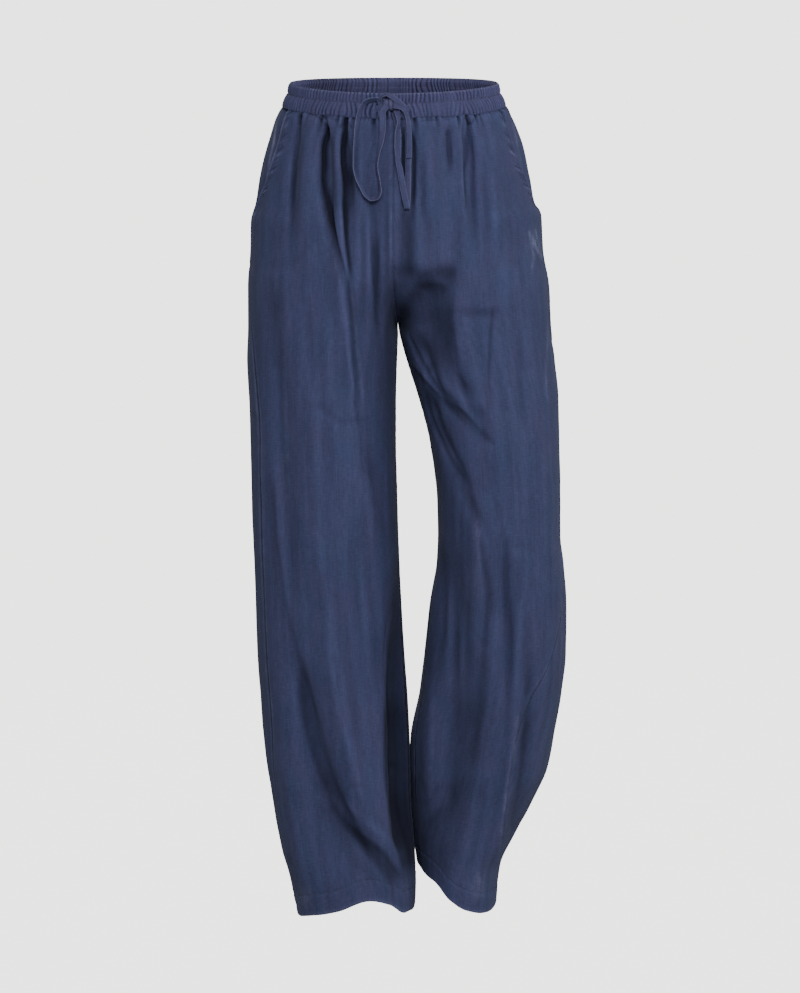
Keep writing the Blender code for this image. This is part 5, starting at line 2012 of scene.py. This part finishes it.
LOOP_RIGHT = rows_of(
    TiePoint,
    (-10.8, -28.3, 4, 24), (-15.5, -26, 4.2, 40), (-22, -24.5, 4.8, 52), (-30, -25.5, 5, 50),
    (-37, -30.5, 5.2, 40), (-42, -42, 5.4, 40), (-46.5, -69, 5.8, 62), (-48.5, -104, 6, 74),
    (-45.5, -119, 6, 70), (-40, -131, 6.4, 66), (-33, -142, 7.4, 58), (-26.5, -145.5, 8.4, 56),
    (-20, -144, 8.4, 60), (-16.5, -136, 7, 66), (-17.5, -125, 6, 70), (-20.5, -106, 5.8, 72),
    (-18.5, -90, 6.2, 60), (-14.5, -72, 7.2, 32), (-13.3, -58, 8.6, 8), (-13.6, -42, 10.4, 0),
    (-8.5, -32.6, 11.8, 0),
)
LOOP_LEFT = rows_of(
    TiePoint,
    (3.6, -38.4, 9, 15), (5.8, -52, 9.2, 56), (2.8, -66, 9.2, 72), (2.4, -79, 9.2, 70), (4.2, -94, 8.6, 46),
    (7.4, -110, 7.8, 14), (10.6, -128, 7, 0), (14, -146, 6.4, 0), (16, -155, 6.2, 0), (16, -156.5, 5.6, 0),
    (16, -157.1, 4.4, 0), (16, -156.5, 3.2, 0), (16, -155, 2.6, 0), (17, -144, 2.3, 0),
    (17.4, -120, 2.2, 0), (17.8, -94, 2.2, 0), (17.8, -66, 2.4, 0), (16.4, -50, 3.6, 0),
    (7.6, -38.6, 5.2, 10),
)
TAIL_LEFT = rows_of(
    TiePoint,
    (-0.5, -32.2, 12, 24), (11, -36.5, 11, 52), (16.4, -47, 7.6, 50), (18.4, -62, 5.6, 28),
    (18.9, -78, 4.8, 8), (18.6, -96, 4.4, 0),
)
TAIL_RIGHT = rows_of(
    TiePoint,
    (0.5, -40.2, 3.2, 8), (4.2, -56, 2.4, 0), (5.8, -72, 2.2, 0), (5.3, -97, 2.2, 0),
)
LEAD_RIGHT = rows_of(TiePoint, (-27, -36, -3.4, 0), (-21, -36, 1.6, 0), (-12.2, -34.3, 4.2, 0))
LEAD_LEFT = rows_of(TiePoint, (24, -35, -3.4, 0), (17.5, -35, 1.6, 0), (8.9, -33.9, 4.2, 0))
ARCH = rows_of(
    TiePoint,
    (-15, -31, 4.4, 0), (-17, -25.5, 6.2, 38), (-14, -20.4, 8.6, 60), (-9, -18.8, 10.4, 58),
    (-3, -21, 11.8, 40), (3, -25.4, 12.4, 18), (8, -30, 11.6, 8), (10.6, -34.5, 8.2, 8), (9.4, -38, 5, 8),
)


@dataclass
class Drawstring:
    """The bow in front of the band: knot, loops, free ends and leads."""

    knot_x: float = -2.0
    knot_z: float = -31.5
    half_size: tuple[float, float, float] = (11.0, 4.6, 6.6)
    slant: float = -20.0
    lift: float = 6.8

    def knot(self, finish: bpy.types.Material) -> bpy.types.Object:
        """The knot's middle: an oval lump with the grooves between its wraps.

        Radius is the root of the sine of the angle from its end, less a bell
        at each groove.
        """
        lean = np.linspace(0.02, np.pi - 0.02, 49)[:, None]
        turn = np.linspace(0, 2 * np.pi, 56, endpoint=False)[None, :]
        place = -np.cos(lean) + 0.22 * np.sin(turn)
        groove = bump(place, -0.42, 0.07) + bump(place, 0.10, 0.07) + bump(place, 0.58, 0.06)
        radius = np.sin(lean) ** 0.6 * (1 - 0.16 * groove)
        size = self.half_size
        x = size[0] * -np.cos(lean) + 0 * turn
        y = size[1] * radius * np.cos(turn)
        z = size[2] * radius * np.sin(turn)
        slant = math.radians(self.slant)
        here = np.array([self.knot_x]), np.array([self.knot_z])
        middle = (self.knot_x, front_y(*here)[0] - self.lift, self.knot_z)
        points = np.stack(
            [
                middle[0] + x * math.cos(slant) - z * math.sin(slant),
                middle[1] + y,
                middle[2] + x * math.sin(slant) + z * math.cos(slant),
            ],
            -1,
        )
        rows, columns = points.shape[:2]
        grid = np.arange(rows * columns).reshape(rows, columns)
        faces = quads_of(rows, columns, closed=True)
        uv = np.stack([x + 0 * turn, turn * 5.5 + 0 * lean], -1).reshape(-1, 2) * MM
        wear = 0.25 * (1 - np.clip(groove, 0, 1)) * np.ones_like(x)
        # The grooves between the wraps get painted shade through the mark below.
        return make_piece(
            "tie_knot_middle",
            points.reshape(-1, 3),
            [faces, grid[:1, ::-1], grid[-1:]],
            finish,
            uv,
            {"wear": wear, "inside": np.zeros(rows * columns), "painted_shade": 2.4 * groove},
        )

    def build(self, finishes: Finishes) -> list[bpy.types.Object]:
        """Every piece of the bow: loops, free ends, leads, knot and its wrap."""
        made = []
        free = [
            ("tie_loop_right", "drawstring_loop_right", LOOP_RIGHT, "knot", 6),
            ("tie_loop_left", "drawstring_loop_left", LOOP_LEFT, "knot", 8),
            ("tie_tail_left", "drawstring_tail_left", TAIL_LEFT, "bare", 12),
            ("tie_tail_right", "drawstring_tail_right", TAIL_RIGHT, "bare", 12),
        ]
        for name, node, route, far_end, samples in free:
            width = 6.8 if far_end == "bare" else 7.4
            strand = Strand(name, route, width, samples=samples, far_end=far_end)
            piece = strand.build(finishes.tie)
            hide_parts(node)
            strand.declare()
            made.append(piece)
        for name, node, route in (
            ("tie_lead_right", "drawstring_lead_right", LEAD_RIGHT),
            ("tie_lead_left", "drawstring_lead_left", LEAD_LEFT),
        ):
            piece = Strand(name, route).build(finishes.tie)
            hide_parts(node)
            made.append(piece)
        middle = self.knot(finishes.tie)
        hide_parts("drawstring_knot")
        made.append(middle)
        made.append(Strand("tie_knot_wrap", ARCH, width=7.2).build(finishes.tie))
        return made


# ---- the stitching ---------------------------------------------------------


def read_along(travelled: Array, at: Array, values: Array) -> Array:
    """Values of a line's points, read at other distances along it."""
    return np.stack([np.interp(at, travelled, column) for column in values.T], 1)


def crossing(runs: Array, grid: Array, at: float) -> Array:
    """Where each row of a grid is at one distance along it.

    Args:
        runs: The distance of each point along its row.
        grid: The values of the points, row by row.
        at: The distance.

    Returns:
        One value a row.
    """
    return np.array([[np.interp(at, run, part) for part in row.T] for run, row in zip(runs, grid)])


def stitch_faces() -> Array:
    """The triangles of one stitch: a tip, two rings of five points and a tip."""
    k = np.arange(5)
    n = (k + 1) % 5
    tips = [np.stack([0 * k, 1 + n, 1 + k], 1), np.stack([11 + 0 * k, 6 + k, 6 + n], 1)]
    sides = [np.stack([1 + k, 1 + n, 6 + n], 1), np.stack([1 + k, 6 + n, 6 + k], 1)]
    return np.concatenate(tips + sides)


@dataclass
class Stitching:
    """Rows of small stitches that lie in the grooves of seams and hems."""

    stitch: float = 2.7
    space: float = 0.75
    thick: float = 0.42
    hem_rise: float = 27.0
    mouth_reaches: tuple[float, float] = (2.0, 8.0)
    mouth_drop: float = 158.0
    band_drop: float = 28.2

    RINGS = ((-0.5, 0.0, -0.3), (-0.34, 1.0, 0.1), (0.34, 1.0, 0.1), (0.5, 0.0, -0.3))

    def along(self, line: Array, normals: Array) -> tuple[Array, Array, Array, Array]:
        """Stitches at even steps of a line.

        Args:
            line: The line's points.
            normals: Which way the cloth faces at each.

        Returns:
            Each stitch's middle, and its directions ahead, up and aside.
        """
        travelled = lengths_along(line[:, None], 0)[:, 0]
        starts = np.arange(1.0, travelled[-1] - self.stitch, self.stitch + self.space)
        tail = read_along(travelled, starts, line)
        head = read_along(travelled, starts + self.stitch, line)
        ahead = head - tail
        up = read_along(travelled, starts + self.stitch / 2, normals)
        up /= np.linalg.norm(up, axis=1, keepdims=True)
        side = np.cross(ahead, up)
        side /= np.linalg.norm(side, axis=1, keepdims=True)
        return (tail + head) / 2, ahead, up, side

    def bars(self, line: Array, normals: Array) -> Array:
        """The points of a line's stitches, each a rounded bar with pointed, sunk ends.

        Args:
            line: The line's points.
            normals: Which way the cloth faces at each.

        Returns:
            Twelve points a stitch.
        """
        middle, ahead, up, side = self.along(line, normals)
        around = np.radians(np.arange(0, 360, 72))
        parts = []
        for place, full, rise in self.RINGS:
            round_it = around if full else around[:1]
            ring = middle[:, None] + ahead[:, None] * place
            radius = full * self.thick / 2
            ring = ring + up[:, None] * (rise + radius * np.sin(round_it)[None, :, None])
            ring = ring + side[:, None] * radius * np.cos(round_it)[None, :, None]
            parts.append(ring)
        return np.concatenate(parts, axis=1)

    def row(
        self, name: str, lines: Sequence[tuple[Array, Array]], finish: bpy.types.Material
    ) -> bpy.types.Object:
        """One piece of many stitches.

        Args:
            name: The piece's name.
            lines: The lines that it follows, each with the cloth's directions.
            finish: Its material.

        Returns:
            The new object.
        """
        bars = np.concatenate([self.bars(line, normals) for line, normals in lines])
        count, size = bars.shape[:2]
        faces = (stitch_faces() + size * np.arange(count)[:, None, None]).reshape(-1, 3)
        points = bars.reshape(-1, 3)
        none = np.zeros(len(points))
        marks = {"wear": none + 0.08, "inside": none, "painted_shade": none}
        piece = make_piece(name, points, [faces], finish, points[:, [0, 2]] * MM, marks)
        return piece

    def column_line(self, surface: Surface, reach: float) -> tuple[Array, Array]:
        """The line down a pocket's mouth at a distance from its edge."""
        rows = np.nonzero(-surface.points[:, 0, 2] < self.mouth_drop)[0][3:]
        across = lengths_along(surface.points, 1)[rows]
        return crossing(across, surface.points[rows], reach), crossing(across, surface.normals[rows], reach)

    def row_line(self, surface: Surface) -> tuple[Array, Array]:
        """The line across a panel at the turn-up's height above its hem."""
        down = lengths_along(surface.points, 0)
        up = (down[-1:] - down)[::-1].T
        grids = surface.points[::-1], surface.normals[::-1]
        line, normals = (crossing(up, grid.transpose(1, 0, 2), self.hem_rise) for grid in grids)
        return line, normals

    def band_line(self, band: Waistband, v: float) -> tuple[Array, Array]:
        """The line round the band at a drop."""
        angles = np.radians(np.linspace(0, 360, 1441))
        level = np.full_like(angles, v)
        out = band.ring(angles, level, band.outer_lift(angles, level))
        more = band.ring(angles, level, band.outer_lift(angles, level) + 1)
        return out, more - out

    def build(
        self, surfaces: dict[tuple[Side, Face], Surface], band: Waistband, finishes: Finishes
    ) -> list[bpy.types.Object]:
        """Every row: the hems', the pocket mouths' and the band's.

        Args:
            surfaces: The panels that it is sewn into.
            band: The waistband.
            finishes: The materials.

        Returns:
            A piece for each hem and mouth, and one for the band.
        """
        made = []
        for side in Side:
            hems = [self.row_line(surfaces[side, face]) for face in Face]
            made.append(self.row(f"stitching_hem_{side.label}", hems, finishes.thread))
            front = surfaces[side, Face.FRONT]
            mouths = [self.column_line(front, reach) for reach in self.mouth_reaches]
            made.append(self.row(f"stitching_pocket_{side.label}", mouths, finishes.thread))
        rings = [self.band_line(band, v) for v in (band.line, self.band_drop)]
        made.append(self.row("stitching_waistband", rings, finishes.thread))
        return made


# ---- the studio ------------------------------------------------------------


@dataclass(frozen=True)
class Softbox:
    """A large soft light: where it is, how big and how bright."""

    name: str
    place: tuple[float, float, float]
    size: float
    power: float


@dataclass
class Studio:
    """The camera, the lights and the pale ground."""

    target: tuple[float, float, float] = (0.0075, 0.0, -0.5144)
    distance: float = 4.6
    elevation: float = 4.0
    lens: float = 36.0 * 3680.0 / 993.0
    ground: float = -1.30
    lights: tuple[Softbox, ...] = (
        Softbox("front_light", (0.3, -3.9, 1.2), 1.6, 164.0),
        Softbox("right_light", (3.6, -1.1, 0.7), 1.3, 58.0),
        Softbox("top_light", (0.2, 0.3, 2.2), 1.6, 12.0),
        Softbox("back_light", (-0.9, 4.4, 1.4), 1.6, 75.0),
    )
    sky: float = 0.62

    def camera(self) -> None:
        """The camera, looking a little down at the thighs."""
        data = bpy.data.cameras.new("camera")
        data.lens = self.lens
        data.sensor_width = 36.0
        made = bpy.data.objects.new("camera", data)
        bpy.context.scene.collection.objects.link(made)
        down = math.radians(self.elevation)
        ahead = Vector((0, math.cos(down), -math.sin(down)))
        made.location = Vector(self.target) - ahead * self.distance
        made.rotation_euler = (math.pi / 2 - down, 0, 0)
        bpy.context.scene.camera = made

    def light(self) -> None:
        """The softboxes, each turned to the middle of the trousers, and the sky."""
        for box in self.lights:
            data = bpy.data.lights.new(box.name, "AREA")
            data.shape = "DISK"
            data.size = box.size
            data.energy = box.power
            made = bpy.data.objects.new(box.name, data)
            bpy.context.scene.collection.objects.link(made)
            made.location = box.place
            aim = Vector(self.target) - made.location
            made.rotation_euler = aim.to_track_quat("-Z", "Y").to_euler()
        world = bpy.data.worlds.new("soft_sky")
        world.use_nodes = True
        sky = world.node_tree.nodes["Background"]
        sky.inputs["Color"].default_value = (0.80, 0.81, 0.79, 1)
        sky.inputs["Strength"].default_value = self.sky
        bpy.context.scene.world = world

    def floor(self) -> None:
        """A pale floor that curves up into a backdrop: a quarter circle joins them."""
        bend, wall, radius = 5.4, 7.6, 2.2
        turn = np.linspace(0, np.pi / 2, 17)
        y = np.concatenate([[-7.5], bend + radius * np.sin(turn), [wall]])
        z = np.concatenate([[0.0], radius * (1 - np.cos(turn)), [4.8]]) + self.ground
        x = np.array([-7.5, 7.5])
        profile = np.stack([np.zeros_like(y), y, z], 1)
        points = np.concatenate([profile + [value, 0, 0] for value in x]) / MM
        count = len(y)
        i = np.arange(count - 1)
        faces = np.stack([i, i + count, i + count + 1, i + 1], 1)
        mesh = bpy.data.meshes.new("ground")
        mesh.from_pydata((points * MM).tolist(), [], faces.tolist())
        mesh.shade_smooth()
        mesh.materials.append(PaleStage().build())
        made = bpy.data.objects.new("ground", mesh)
        made.visible_diffuse = False
        made.visible_glossy = False
        bpy.context.scene.collection.objects.link(made)


def main() -> None:
    """Builds the trousers piece by piece and the studio round them."""
    logging.basicConfig(level=logging.INFO, format="%(message)s")
    studio = Studio()
    studio.camera()
    finishes = Finishes.build()
    pieces = Drawstring().build(finishes)
    relief = Relief(tucks=tucks_all_round())
    surfaces: dict[tuple[Side, Face], Surface] = {}
    for side in Side:
        for face in Face:
            piece, surface = LegPanel(side, face, relief).build(finishes)
            surfaces[side, face] = surface
            pieces.append(piece)
    band = Waistband()
    pieces += band.build(finishes)
    for side in Side:
        pocket = Pocket(side)
        pieces.append(pocket.facing(finishes))
        pieces.append(pocket.bag(finishes, surfaces[side, Face.FRONT]))
    pieces += Stitching().build(surfaces, band, finishes)
    studio.light()
    studio.floor()
    for piece in pieces:
        piece.data.calc_loop_triangles()
        log.info("%s: %d triangles", piece.name, len(piece.data.loop_triangles))


if __name__ == "__main__":
    main()
